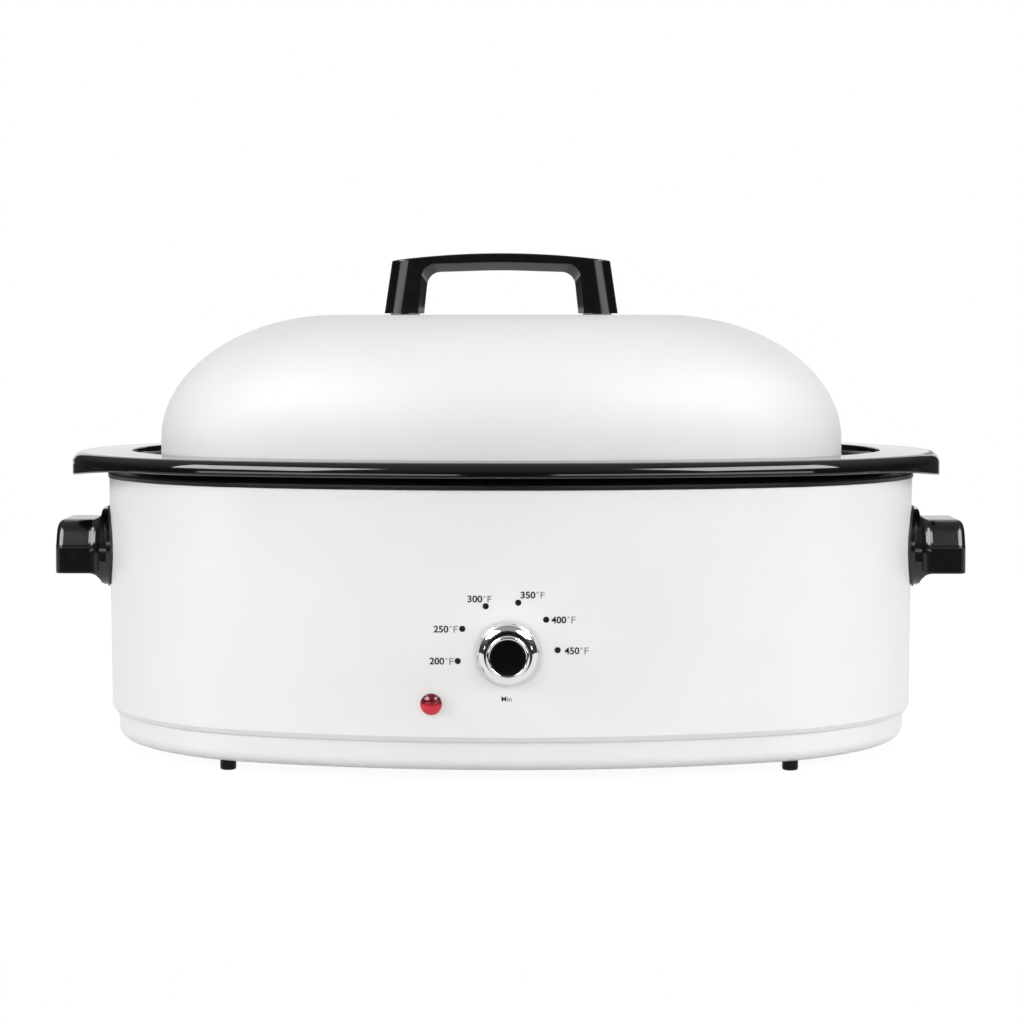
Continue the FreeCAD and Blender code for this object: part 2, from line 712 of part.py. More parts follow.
# ------------------------------------------------------------------ side handles
def ear_screw_spots(side):
    """Where each handle's screws cross the body's plan; they run along X."""
    spots = []
    for end in (-1, 1):
        point, _ = BODY.end_wall(end * EAR_SCREW_SPREAD / 2, side)
        spots.append(point + UP * EAR_CENTRE_Z)
    return spots


def ear_flange_outline(margin):
    """The flange's outline seen from the end, as a wire in the plane x = 0."""
    height = EAR_FLANGE_HEIGHT + 2 * margin
    width = EAR_FLANGE_WIDTH + 2 * margin
    return round_rect(width, height, EAR_FLANGE_ROUND + margin, 0,
                      EAR_CENTRE_Z - EAR_FLANGE_DROP)


def ear_section(x, grow):
    """One upright section of the flare at X, grown on all sides by a margin."""
    low = -EAR_HEIGHT / 2 - grow
    high = EAR_HEIGHT / 2 + grow
    ledge = EAR_LEDGE_HEIGHT - EAR_HEIGHT / 2
    wide = EAR_WIDTH / 2 + grow
    narrow = wide - EAR_LEDGE - EAR_SLOPE
    small, large = EAR_EDGE_ROUND + grow, EAR_TOP_ROUND + grow
    outline = [(-wide, low, small), (wide, low, small), (wide, ledge, large),
               (narrow, high, large), (-narrow, high, large), (-wide, ledge, large)]
    points = [Vector(x, y, EAR_CENTRE_Z + z) for y, z, _ in outline]
    return Part.Wire(rounded_edges(points, [corner[2] for corner in outline], True))


def ear_grip(inside, outer):
    """The grip between two X: an upright lower half and a leaning upper half."""
    low = EAR_CENTRE_Z - EAR_HEIGHT / 2
    ledge = low + EAR_LEDGE_HEIGHT
    high = low + EAR_HEIGHT
    length = outer - inside
    lower = Part.makeBox(length, EAR_WIDTH, EAR_LEDGE_HEIGHT, Vector(inside, -EAR_WIDTH / 2, low))
    upright = [edge for edge in lower.Edges if edge.CenterOfMass.x > outer - 0.01
               and abs(edge.CenterOfMass.y) > EAR_WIDTH / 2 - 0.01]
    lower = lower.makeFillet(EAR_NOSE_ROUND, upright)
    rims = [edge for edge in lower.Edges if edge.CenterOfMass.x > inside + 0.01
            and edge.BoundBox.ZLength < 0.01]
    lower = lower.makeFillet(EAR_EDGE_ROUND, rims)
    foot = EAR_WIDTH / 2 - EAR_LEDGE
    top = foot - EAR_SLOPE
    sunk = ledge - 2 * EAR_EDGE_ROUND
    points = [Vector(inside, -foot, sunk), Vector(inside, foot, sunk),
              Vector(inside, foot, ledge), Vector(inside, top, high),
              Vector(inside, -top, high), Vector(inside, -foot, ledge)]
    radii = [0, 0, EAR_NOSE_ROUND, EAR_TOP_ROUND, EAR_TOP_ROUND, EAR_NOSE_ROUND]
    face = Part.Face(Part.Wire(rounded_edges(points, radii, True)))
    upper = face.extrude(Vector(length, 0, 0))
    nose = [edge for edge in upper.Edges if edge.CenterOfMass.x > outer - 0.01
            and edge.CenterOfMass.z > sunk + 0.01]
    upper = upper.makeFillet(EAR_NOSE_ROUND, nose)
    return [lower, upper]


def side_handle(side):
    """The right handle (side 1) or left handle (side -1), made on the right and turned."""
    back = GASKET_WALL + 2 * SEAT_GAP
    wall_x = BODY.half_length
    outer_x = wall_x + EAR_REACH
    inside = wall_x - EAR_FLARE
    widest = EAR_FLARE_SPREAD
    steps = 8
    sections = [ear_section(inside, widest)]
    for step in range(steps + 1):
        angle = math.pi / 2 * step / steps
        x = wall_x + EAR_FLANGE_WALL + EAR_FLARE * (1 - math.cos(angle))
        sections.append(ear_section(x, widest * (1 - math.sin(angle))))
    low = EAR_CENTRE_Z - EAR_FLANGE_HEIGHT
    high = EAR_CENTRE_Z + EAR_FLANGE_HEIGHT
    outline = Part.Face(ear_flange_outline(0)).extrude(Vector(outer_x, 0, 0))
    flange = outline.common(BODY.inset(-back - EAR_FLANGE_WALL).prism(low, high))
    flare = lofted(sections, True).common(outline)
    handle = flange.fuse([flare] + ear_grip(inside, outer_x))
    handle = handle.cut(BODY.inset(-back).prism(low, high))
    pocket_x = outer_x - EAR_POCKET_WALL - EAR_POCKET_WIDTH / 2
    under = EAR_CENTRE_Z - EAR_HEIGHT / 2
    pocket = block(EAR_POCKET_WIDTH, EAR_POCKET_LENGTH, EAR_POCKET_DEPTH + 1,
                   Vector(pocket_x, 0, 0), under - 1)
    edges = [edge for edge in pocket.Edges if edge.CenterOfMass.z > under]
    handle = handle.cut(pocket.makeFillet(EAR_POCKET_WIDTH / 4, edges))
    for spot in ear_screw_spots(1):
        handle = handle.cut(rod(EAR_SCREW_RADIUS + SEAT_GAP, spot - Vector(EAR_FLARE, 0, 0),
                                spot + Vector(back + EAR_SCREW_DEPTH, 0, 0)))
    if side < 0:
        handle.rotate(Vector(0, 0, 0), UP, 180)
    return handle


def handle_gasket(side):
    low = EAR_CENTRE_Z - EAR_FLANGE_HEIGHT
    high = EAR_CENTRE_Z + EAR_FLANGE_HEIGHT
    outline = Part.Face(ear_flange_outline(GASKET_MARGIN)).extrude(Vector(BODY_LENGTH, 0, 0))
    gasket = outline.common(BODY.inset(-GASKET_WALL - SEAT_GAP).prism(low, high))
    gasket = gasket.cut(BODY.inset(-SEAT_GAP).prism(low, high))
    for spot in ear_screw_spots(1):
        gasket = gasket.cut(rod(EAR_SCREW_RADIUS + HOLE_GAP, spot - Vector(EAR_FLARE, 0, 0),
                                spot + Vector(EAR_FLARE, 0, 0)))
    if side < 0:
        gasket.rotate(Vector(0, 0, 0), UP, 180)
    return gasket


def side_handle_screws():
    """Four screws, driven outwards from inside the shell along X."""
    shapes = []
    for side in (-1, 1):
        for spot in ear_screw_spots(side):
            lean = abs(spot.y) / BODY.end_radius * 2 * EAR_SCREW_RADIUS
            inside = SHELL_WALL + SHELL_TAPER + lean + SEAT_GAP
            length = inside + GASKET_WALL + 2 * SEAT_GAP + EAR_SCREW_DEPTH - 1
            piece = screw(EAR_SCREW_RADIUS, length, 2 * EAR_SCREW_RADIUS, EAR_SCREW_RADIUS)
            base = spot - Vector(side * inside, 0, 0)
            shapes.append(placed(piece, base, Vector(-side, 0, 0)))
    return Part.makeCompound(shapes)


# ------------------------------------------------------------------ thermostat and knob
FRONT_WALL, FRONT_NORMAL = BODY.long_wall(0, -1)
DIAL = FRONT_WALL + UP * DIAL_HEIGHT


def thermostat_body():
    """The switch behind the shell, with its collar through the wall."""
    behind = -(SHELL_WALL + SHELL_TAPER + SEAT_GAP)
    case = Part.makeBox(THERMOSTAT_WIDTH, THERMOSTAT_HEIGHT, THERMOSTAT_DEPTH,
                        Vector(-THERMOSTAT_WIDTH / 2, -THERMOSTAT_HEIGHT / 2,
                               behind - THERMOSTAT_DEPTH))
    upright = [edge for edge in case.Edges
               if abs(edge.tangentAt(edge.FirstParameter).z) > 0.9]
    case = case.makeFillet(THERMOSTAT_ROUND, upright)
    wall_fall = (THERMOSTAT_WIDTH / 2) ** 2 / (2 * BODY.front_radius)
    case.translate(DOWN * wall_fall)
    collar = rod(COLLAR_RADIUS, UP * (behind - wall_fall), UP * COLLAR_OUT)
    case = case.fuse(collar)
    case = case.cut(rod(SHAFT_RADIUS + TURN_GAP, DOWN * THERMOSTAT_DEPTH * 2, UP * 2 * COLLAR_OUT))
    for side in (-1, 1):
        spot = Vector(side * THERMOSTAT_SCREW_SPREAD / 2, 0, 0)
        case = case.cut(rod(SMALL_SCREW_RADIUS + SEAT_GAP, spot + UP,
                            spot + DOWN * THERMOSTAT_HOLE_DEPTH))
    return placed(case, DIAL, FRONT_NORMAL)


def thermostat_screws():
    shapes = []
    for side in (-1, 1):
        x = side * THERMOSTAT_SCREW_SPREAD / 2
        piece = screw(SMALL_SCREW_RADIUS, THERMOSTAT_SCREW_LENGTH, SMALL_HEAD_RADIUS,
                      SMALL_HEAD_HEIGHT)
        shapes.append(placed(piece, DIAL + Vector(x, -SEAT_GAP, 0), FRONT_NORMAL))
    return Part.makeCompound(shapes)


def thermostat_shaft():
    """The turning shaft, flatted where the knob's hub grips it."""
    tip = KNOB_PROJECTION - KNOB_RING_WALL - KNOB_WEB - 2
    shaft = rod(SHAFT_RADIUS, DOWN * SHAFT_INSIDE, UP * tip)
    flat = Part.makeBox(2 * SHAFT_RADIUS, SHAFT_RADIUS, tip,
                        Vector(-SHAFT_RADIUS, SHAFT_RADIUS / 2, tip / 2))
    return placed(shaft.cut(flat), DIAL, FRONT_NORMAL)


def thermostat_probe():
    """The sensing bulb along the liner and the capillary up to the switch."""
    bulb_inset = LINER_INSET - PROBE_RADIUS - PROBE_CLEAR
    point, _ = BODY.inset(bulb_inset).long_wall(PROBE_LENGTH / 2, -1)
    height = DIAL_HEIGHT - PROBE_DROP
    start = Vector(-PROBE_LENGTH / 2, point.y, height)
    end = Vector(PROBE_LENGTH / 2, point.y, height)
    bulb = rod(PROBE_RADIUS, start, end)
    case_low = DIAL_HEIGHT - THERMOSTAT_HEIGHT / 2
    case_y = FRONT_WALL.y + CAPILLARY_BEHIND
    capillary = tube_solid([
        end - Vector(CAPILLARY_JOIN, 0, 0),
        end + Vector(CAPILLARY_RUN, 0, 0),
        Vector(end.x + CAPILLARY_RUN, case_y, (height + case_low) / 2),
        Vector(THERMOSTAT_WIDTH / 4, case_y, (height + case_low) / 2),
        Vector(THERMOSTAT_WIDTH / 4, case_y, case_low - SEAT_GAP),
    ], CAPILLARY_BEND, CAPILLARY_RADIUS)
    return bulb.fuse(capillary)


def knob_skirt():
    """Chromed dome round the knob's foot, with its pointer cut into the edge."""
    back = KNOB_STAND_OFF
    front = back + KNOB_SKIRT_DEPTH
    wall = KNOB_SKIRT_WALL
    points = [
        Vector(KNOB_RADIUS, 0, back),
        Vector(KNOB_RADIUS, 0, back + KNOB_EDGE),
        Vector(KNOB_MOUTH_RADIUS, 0, front),
        Vector(KNOB_MOUTH_RADIUS - wall, 0, front - wall),
        Vector(KNOB_RADIUS - wall, 0, back + KNOB_EDGE),
        Vector(KNOB_RADIUS - wall, 0, back),
    ]
    rise = KNOB_SKIRT_DEPTH - KNOB_EDGE
    run = KNOB_RADIUS - KNOB_MOUTH_RADIUS
    bulge = KNOB_BULGE * math.hypot(rise, run)
    across = Vector(rise, 0, run).normalize()
    outer_middle = (points[1] + points[2]) * 0.5 + across * bulge
    inner_middle = (points[3] + points[4]) * 0.5 + across * bulge
    edges = [
        Part.LineSegment(points[0], points[1]).toShape(),
        Part.Arc(points[1], outer_middle, points[2]).toShape(),
        Part.LineSegment(points[2], points[3]).toShape(),
        Part.Arc(points[3], inner_middle, points[4]).toShape(),
        Part.LineSegment(points[4], points[5]).toShape(),
        Part.LineSegment(points[5], points[0]).toShape(),
    ]
    skirt = Part.Face(Part.Wire(edges)).revolve(Vector(0, 0, 0), UP, 360)
    notch = Part.makeBox(POINTER_DEPTH * 2, POINTER_WIDTH, KNOB_EDGE * 2,
                         Vector(KNOB_RADIUS - POINTER_DEPTH, -POINTER_WIDTH / 2, back - 1))
    notch.rotate(Vector(0, 0, 0), UP, POINTER_ANGLE)
    web = turned([(KNOB_RING_RADIUS - KNOB_RING_WALL, back + KNOB_EDGE, 0),
                  (KNOB_RADIUS - wall / 2, back + KNOB_EDGE, 0),
                  (KNOB_RADIUS - wall / 2, back + KNOB_EDGE + KNOB_WEB, 0),
                  (KNOB_RING_RADIUS - KNOB_RING_WALL, back + KNOB_EDGE + KNOB_WEB, 0)])
    clip = turned([(0, back, 0), (KNOB_RADIUS - wall / 2, back, 0),
                   (KNOB_RADIUS - wall / 2, back + KNOB_EDGE, 0),
                   (KNOB_MOUTH_RADIUS, front - wall, 0), (0, front - wall, 0)])
    return placed(skirt.fuse(web.common(clip)).cut(notch), DIAL, FRONT_NORMAL)


KNOB_WEB_TOP = KNOB_STAND_OFF + KNOB_EDGE + KNOB_WEB


def knob_ring():
    """Chromed barrel that the fingers hold."""
    inner = KNOB_RING_RADIUS - KNOB_RING_WALL
    ring_shape = turned([
        (inner, KNOB_WEB_TOP + SEAT_GAP, 0),
        (KNOB_RING_RADIUS, KNOB_WEB_TOP + SEAT_GAP, 0),
        (KNOB_RING_RADIUS, KNOB_PROJECTION, KNOB_RING_ROUND),
        (inner, KNOB_PROJECTION, KNOB_RING_ROUND / 2),
    ])
    return placed(ring_shape, DIAL, FRONT_NORMAL)


def knob_cap():
    """Black disc in the barrel's front."""
    radius = KNOB_RING_RADIUS - KNOB_RING_WALL - SEAT_GAP
    top = KNOB_PROJECTION - KNOB_CAP_RECESS
    disc = turned([(0, top - KNOB_RING_WALL, 0), (radius, top - KNOB_RING_WALL, 0),
                   (radius, top, KNOB_CAP_RECESS), (0, top, 0)])
    return placed(disc, DIAL, FRONT_NORMAL)


def knob_hub():
    """Black core between shaft and barrel, with a bore that fits the flatted shaft."""
    radius = KNOB_RING_RADIUS - KNOB_RING_WALL - SEAT_GAP
    top = KNOB_PROJECTION - KNOB_CAP_RECESS - KNOB_RING_WALL - SEAT_GAP
    tip = KNOB_PROJECTION - KNOB_RING_WALL - KNOB_WEB - 2
    low = KNOB_STAND_OFF + KNOB_EDGE
    hub = rod(radius, UP * low, UP * top)
    bore_radius = SHAFT_RADIUS + SEAT_GAP
    bore = rod(bore_radius, UP * (low - 1), UP * (tip + SEAT_GAP))
    flat = Part.makeBox(2 * bore_radius, SHAFT_RADIUS, tip,
                        Vector(-bore_radius, SHAFT_RADIUS / 2 + SEAT_GAP, tip / 2 + SEAT_GAP))
    return placed(hub.cut(bore.cut(flat)), DIAL, FRONT_NORMAL)


# ------------------------------------------------------------------ pilot lamp
LAMP_WALL, LAMP_NORMAL = BODY.long_wall(LAMP_X, -1)
LAMP = LAMP_WALL + UP * LAMP_Z


def pilot_lens():
    """Domed red lens with a hollow barrel through the shell."""
    rim = SEAT_GAP + LENS_RIM
    bore = LENS_BARREL_RADIUS - LENS_WALL
    dome = (LENS_RADIUS ** 2 + LENS_RISE ** 2) / (2 * LENS_RISE)
    top = Vector(0, 0, rim + LENS_RISE)
    middle_angle = math.asin(LENS_RADIUS / dome) / 2
    middle = Vector(dome * math.sin(middle_angle), 0,
                    rim + LENS_RISE - dome * (1 - math.cos(middle_angle)))
    corners = [Vector(0, 0, rim), Vector(bore, 0, rim), Vector(bore, 0, -LENS_BARREL_LENGTH),
               Vector(LENS_BARREL_RADIUS, 0, -LENS_BARREL_LENGTH),
               Vector(LENS_BARREL_RADIUS, 0, SEAT_GAP), Vector(LENS_RADIUS, 0, SEAT_GAP),
               Vector(LENS_RADIUS, 0, rim)]
    edges = [Part.LineSegment(a, b).toShape() for a, b in zip(corners, corners[1:])]
    edges.append(Part.Arc(corners[-1], middle, top).toShape())
    edges.append(Part.LineSegment(top, corners[0]).toShape())
    lens = Part.Face(Part.Wire(edges)).revolve(Vector(0, 0, 0), UP, 360)
    return placed(lens, LAMP, LAMP_NORMAL)


def pilot_lamp():
    """Small lamp that stands in the lens barrel."""
    top = -SEAT_GAP
    bulb = turned([(0, top - BULB_LENGTH, 0), (BULB_RADIUS, top - BULB_LENGTH, 0),
                   (BULB_RADIUS, top, BULB_RADIUS * 0.8), (0, top, 0)])
    return placed(bulb, LAMP, LAMP_NORMAL)


def lamp_retainer():
    """Push-on ring that holds the lens against the shell."""
    back = -(2 * SHELL_WALL + SHELL_TAPER)
    washer = turned([(LENS_BARREL_RADIUS + SEAT_GAP, back, 0), (RETAINER_RADIUS, back, 0),
                     (RETAINER_RADIUS, back - RETAINER_WALL, 0),
                     (LENS_BARREL_RADIUS + SEAT_GAP, back - RETAINER_WALL, 0)])
    return placed(washer, LAMP, LAMP_NORMAL)


# ------------------------------------------------------------------ cord gland and wiring
GLAND_WALL, GLAND_NORMAL = BODY.long_wall(GLAND_X, 1)
GLAND = GLAND_WALL + UP * GLAND_Z


def cord_gland():
    """Bushing through the back of the shell; its bore takes the mains cord."""
    flange = SEAT_GAP + GLAND_FLANGE
    bushing = turned([
        (GLAND_BORE_RADIUS, -GLAND_INSIDE, 0),
        (GLAND_BARREL_RADIUS, -GLAND_INSIDE, 0),
        (GLAND_BARREL_RADIUS, SEAT_GAP, 0),
        (GLAND_FLANGE_RADIUS, SEAT_GAP, 0),
        (GLAND_FLANGE_RADIUS, flange, GLAND_FLANGE / 3),
        (GLAND_BORE_RADIUS, flange, 0),
    ])
    return placed(bushing, GLAND, GLAND_NORMAL)


def gland_nut():
    back = -(2 * SHELL_WALL + SHELL_TAPER)
    nut = hexagon(GLAND_NUT_FLATS, GLAND_NUT_HEIGHT)
    nut = nut.cut(rod(GLAND_BARREL_RADIUS + SEAT_GAP, DOWN, UP * (GLAND_NUT_HEIGHT + 1)))
    nut.translate(UP * (back - GLAND_NUT_HEIGHT))
    return placed(nut, GLAND, GLAND_NORMAL)


def terminal_block():
    """Moulded block on the base pan, with a screw well over each lead."""
    low = Z_BASE + BASE_WALL + SEAT_GAP
    middle = Vector(BLOCK_X, BLOCK_Y, 0)
    body = block(BLOCK_LENGTH, BLOCK_WIDTH, BLOCK_HEIGHT, middle, low)
    for index in (-1, 0, 1):
        spot = Vector(BLOCK_X + index * LEAD_PITCH, BLOCK_Y, low)
        body = body.cut(rod(LEAD_RADIUS * 2, spot + UP * BLOCK_HEIGHT / 2,
                            spot + UP * (BLOCK_HEIGHT + 1)))
    for side in (-1, 1):
        spot = Vector(BLOCK_X + side * BLOCK_LENGTH / 3, BLOCK_Y, low)
        body = body.cut(rod(SMALL_SCREW_RADIUS + HOLE_GAP, spot + DOWN, spot + UP * 2 * BLOCK_HEIGHT))
    return body


def block_screws():
    shapes = []
    length = BLOCK_HEIGHT + BASE_WALL + 2 * SEAT_GAP + 2
    top = Z_BASE + BASE_WALL + 2 * SEAT_GAP + BLOCK_HEIGHT
    for side in (-1, 1):
        piece = screw(SMALL_SCREW_RADIUS, length, SMALL_HEAD_RADIUS * 0.8, SMALL_HEAD_HEIGHT)
        piece.translate(Vector(BLOCK_X + side * BLOCK_LENGTH / 3, BLOCK_Y, top))
        shapes.append(piece)
    return Part.makeCompound(shapes)


def lead_wires():
    """Leads from the terminal block, under the shield, to thermostat and lamp."""
    level = Z_BASE + BASE_WALL + SEAT_GAP + BLOCK_HEIGHT / 4
    start_y = BLOCK_Y - BLOCK_WIDTH / 2 - SEAT_GAP
    front_y = SHELL_WALL + SHELL_TAPER + BASE_STEP + 6 * LEAD_RADIUS - BODY.half_depth
    top = DIAL_HEIGHT - THERMOSTAT_HEIGHT / 2 - SEAT_GAP
    ends = [Vector(-THERMOSTAT_WIDTH / 3, 0, top), Vector(0, 0, top)]
    shapes = []
    for index, end in enumerate(ends):
        x = BLOCK_X + (index - 0.5) * LEAD_PITCH
        shapes.append(tube_solid([
            Vector(x, start_y, level),
            Vector(x, start_y - LEAD_RUN_BACK, level),
            Vector(end.x, front_y + LEAD_RUN_FRONT, level),
            Vector(end.x, front_y, level),
            Vector(end.x, front_y, end.z),
        ], LEAD_BEND, LEAD_RADIUS))
    return Part.makeCompound(shapes)


# ------------------------------------------------------------------ cookwell
def rim_aprons():
    """At each end the rim's lip hangs lower, as a hold for the fingers."""
    top = Z_SHOULDER - RIM_LIP_ROUND
    low = Z_LIP - RIM_APRON_DROP
    end = RIM.half_length
    start = end - RIM_APRON_LENGTH
    fall = (RIM_APRON_LENGTH ** 2 + RIM_APRON_DROP ** 2) / (2 * RIM_APRON_DROP)
    half_angle = math.asin(RIM_APRON_LENGTH / fall) / 2
    middle = Vector(start + fall * math.sin(half_angle), 0,
                    Z_LIP - fall * (1 - math.cos(half_angle)))
    corners = [Vector(end, 0, low), Vector(end + RIM_ROLL, 0, low),
               Vector(end + RIM_ROLL, 0, top), Vector(start, 0, top), Vector(start, 0, Z_LIP)]
    edges = [Part.Arc(corners[-1], middle, corners[0]).toShape()]
    edges += [Part.LineSegment(a, b).toShape() for a, b in zip(corners, corners[1:])]
    side = Part.Face(Part.Wire(edges))
    side.translate(Vector(0, -BODY_DEPTH, 0))
    half = band(RIM, 0, RIM_ROLL, low - 1, top).common(side.extrude(Vector(0, 2 * BODY_DEPTH, 0)))
    under = [edge for edge in half.Edges if edge.BoundBox.ZMax < Z_LIP - 0.01
             and edge.BoundBox.YLength > RIM_ROLL * 2 or edge.BoundBox.ZLength > top - Z_LIP + 1]
    right = half.makeFillet(RIM_APRON_EDGE, under)
    left = right.copy()
    left.rotate(Vector(0, 0, 0), UP, 180)
    return [right, left]


def cookwell():
    """Pan, lid recess, flat rim and folded lip, one enamelled sheet."""
    wall = PAN_WALL
    crest = RECESS_INSET - wall
    mouth = PAN_MOUTH_INSET
    floor_inset = mouth + PAN_DRAFT
    deep = Z_PAN - wall
    under = Z_RECESS - wall
    under_round = PAN_MOUTH_ROUND + wall
    recess_outer = RECESS_ROUND + wall
    inner_cup = swept_faces(BODY, [
        (crest, Z_CREST, 0),
        (RECESS_INSET, Z_CREST, RECESS_ROUND / 2),
        (RECESS_INSET, Z_RECESS, RECESS_ROUND),
        (mouth + wall, Z_RECESS, under_round),
        (floor_inset + wall, Z_PAN, PAN_ROUND),
        (floor_inset + wall + PAN_ROUND, Z_PAN, 0),
    ])
    outer_cup = swept_faces(BODY, [
        (crest, Z_CREST - wall, 0),
        (crest, under, recess_outer / 2),
        (mouth, under, PAN_MOUTH_ROUND),
        (floor_inset, deep, PAN_ROUND + wall),
        (floor_inset + wall + PAN_ROUND, deep, 0),
    ])
    shoulder = 2 * RIM_LIP_ROUND
    lip = swept_faces(RIM, [
        (shoulder, Z_SHOULDER, 0),
        (0, Z_SHOULDER, RIM_LIP_ROUND),
        (0, Z_LIP, RIM_ROLL_ROUND),
        (RIM_ROLL, Z_LIP, RIM_ROLL_ROUND),
        (RIM_ROLL, Z_SHOULDER - wall, RIM_LIP_ROUND - RIM_ROLL),
        (shoulder, Z_SHOULDER - wall, 0),
    ])
    slopes = []
    shoulder_plan = RIM.inset(shoulder)
    crest_plan = BODY.inset(crest)
    for drop in (0, wall):
        low = shoulder_plan.wire(Z_SHOULDER - drop).Edges
        high = crest_plan.wire(Z_CREST - drop).Edges
        for near, far in zip(low, high):
            slopes.append(Part.makeRuledSurface(near, far))
    caps = [cap(BODY, floor_inset + wall + PAN_ROUND, z) for z in (Z_PAN, deep)]
    return sewn_solid(inner_cup + outer_cup + lip + slopes + caps).fuse(rim_aprons())


# ------------------------------------------------------------------ lid
def lid_body(plan, low, dome):
    """A closed body: straight skirt, then a dome that closes over the plan."""
    skirt = plan.prism(low, Z_DOME)
    wires = []
    for index in range(DOME_SECTIONS):
        angle = math.pi / 2 * index / (DOME_SECTIONS - 1)
        factor = 1 - LID_DRAW * (1 - math.cos(angle))
        wires.append(plan.scaled(factor).wire(Z_DOME + dome * math.sin(angle)))
    return skirt.fuse(lofted(wires))


def grip_screw_spots():
    reach = GRIP_FOOT_LENGTH / 2 - GRIP_SCREW_INSET
    return [Vector(side * reach, 0, 0) for side in (-1, 1)]


def lid_shell():
    outside = lid_body(LID, Z_LID, LID_DOME)
    inside = lid_body(LID.inset(LID_WALL), Z_LID - 1, LID_DOME - LID_WALL)
    hem = band(LID, LID_WALL / 2, LID_HEM, Z_LID, Z_LID + LID_HEM_HEIGHT)
    lid = outside.cut(inside).fuse(hem)
    for spot in grip_screw_spots():
        lid = lid.cut(rod(GRIP_SCREW_RADIUS + HOLE_GAP, spot + UP * Z_DOME, spot + UP * Z_GRIP))
    return lid


def lid_handle():
    """Arched bar on two legs; the hand hole widens towards both faces."""
    foot_half = GRIP_FOOT_LENGTH / 2
    top_half = foot_half - GRIP_LEAN
    width = GRIP_WIDTH / 2
    low = Z_GRIP + SEAT_GAP
    shoulder = low + GRIP_SHOULDER
    corners = [Vector(-foot_half, -width, low), Vector(foot_half, -width, low),
               Vector(top_half, -width, shoulder), Vector(-top_half, -width, shoulder)]
    crown = Vector(0, -width, shoulder + GRIP_ARCH)
    outline = [Part.LineSegment(corners[3], corners[0]).toShape(),
               Part.LineSegment(corners[0], corners[1]).toShape(),
               Part.LineSegment(corners[1], corners[2]).toShape(),
               Part.Arc(corners[2], crown, corners[3]).toShape()]
    handle = Part.Face(Part.Wire(outline)).extrude(Vector(0, GRIP_WIDTH, 0))
    ends = [edge for edge in handle.Edges if abs(edge.CenterOfMass.x) > top_half
            and abs(edge.CenterOfMass.y) > width - 0.01 and edge.Length < 2 * GRIP_SHOULDER]
    handle = handle.makeFillet(GRIP_END_ROUND, ends)

    def hole(y, flare, flare_top):
        half_foot = foot_half - GRIP_LEG + flare
        half_top = half_foot - GRIP_LEG_LEAN
        top = low + GRIP_GAP_HEIGHT + flare_top
        arch = (half_top ** 2 + GRIP_GAP_ARCH ** 2) / (4 * GRIP_GAP_ARCH)
        points = [Vector(-half_foot, y, low - 1), Vector(half_foot, y, low - 1),
                  Vector(half_top, y, top), Vector(0, y, top + GRIP_GAP_ARCH),
                  Vector(-half_top, y, top)]
        radii = [0, 0, GRIP_GAP_ROUND, arch, GRIP_GAP_ROUND]
        return Part.Wire(rounded_edges(points, radii, True))

    for side in (-1, 1):
        middle = hole(0, 0, 0)
        face = hole(side * width, GRIP_FLARE, GRIP_FLARE_TOP)
        handle = handle.cut(lofted([middle, face], True))
    for spot in grip_screw_spots():
        handle = handle.cut(rod(GRIP_SCREW_RADIUS + SEAT_GAP, spot + UP * (low - 1),
                                spot + UP * (low + GRIP_SCREW_DEPTH)))
    crest = [edge for edge in handle.Edges if edge.CenterOfMass.z > shoulder + GRIP_ARCH / 3
             and abs(edge.CenterOfMass.y) > width - 0.01]
    return handle.makeFillet(GRIP_EDGE_ROUND, crest)


def lid_handle_pads():
    """Thin pads between the handle's feet and the lid."""
    shapes = []
    length = GRIP_LEG - 2 * GRIP_FLARE
    width = GRIP_WIDTH * 0.8
    for spot in grip_screw_spots():
        pad = block(length, width, GRIP_PAD - SEAT_GAP, spot, Z_LID_TOP + SEAT_GAP)
        upright = [edge for edge in pad.Edges if edge.Length < GRIP_PAD]
        pad = pad.makeFillet(length / 3, upright)
        pad = pad.cut(rod(GRIP_SCREW_RADIUS + HOLE_GAP, spot, spot + UP * 2 * Z_GRIP))
        shapes.append(pad)
    return Part.makeCompound(shapes)


def lid_handle_washers():
    shapes = []
    top = Z_LID_TOP - LID_WALL - SEAT_GAP
    inner = GRIP_SCREW_RADIUS + HOLE_GAP
    for spot in grip_screw_spots():
        washer = turned([(inner, top - 1, 0), (3 * inner, top - 1, 0), (3 * inner, top, 0),
                         (inner, top, 0)])
        washer.translate(spot)
        shapes.append(washer)
    return Part.makeCompound(shapes)


def lid_handle_screws():
    shapes = []
    head = Z_LID_TOP - LID_WALL - 2 * SEAT_GAP - 1
    length = Z_GRIP + SEAT_GAP + GRIP_SCREW_DEPTH - 1 - head
    for spot in grip_screw_spots():
        piece = screw(GRIP_SCREW_RADIUS, length, 2 * GRIP_SCREW_RADIUS, GRIP_SCREW_RADIUS)
        shapes.append(placed(piece, spot + UP * head, DOWN))
    return Part.makeCompound(shapes)


# ------------------------------------------------------------------ rack
def half_depth_at(plan, x):
    """Half depth of the oval at X."""
    if abs(x) <= plan.front_radius * math.sin(plan.arcs()[0][4] / 2):
        return math.sqrt(plan.front_radius ** 2 - x ** 2) - plan.front_centre
    across = abs(x) - plan.corner_x
    tangent = plan.corner_x + plan.corner * math.cos(plan.arcs()[2][4] / 2)
    if abs(x) <= tangent:
        return plan.corner_y + math.sqrt(plan.corner ** 2 - across ** 2)
    return math.sqrt(plan.end_radius ** 2 - (abs(x) - plan.end_centre) ** 2)


RACK = BODY.inset(RACK_INSET)
RACK_BARS = int((RACK.half_length - RACK_BAR_PITCH / 2) / RACK_BAR_PITCH)
PIN_X = (RACK_BARS - PIN_BARS_IN) * RACK_BAR_PITCH


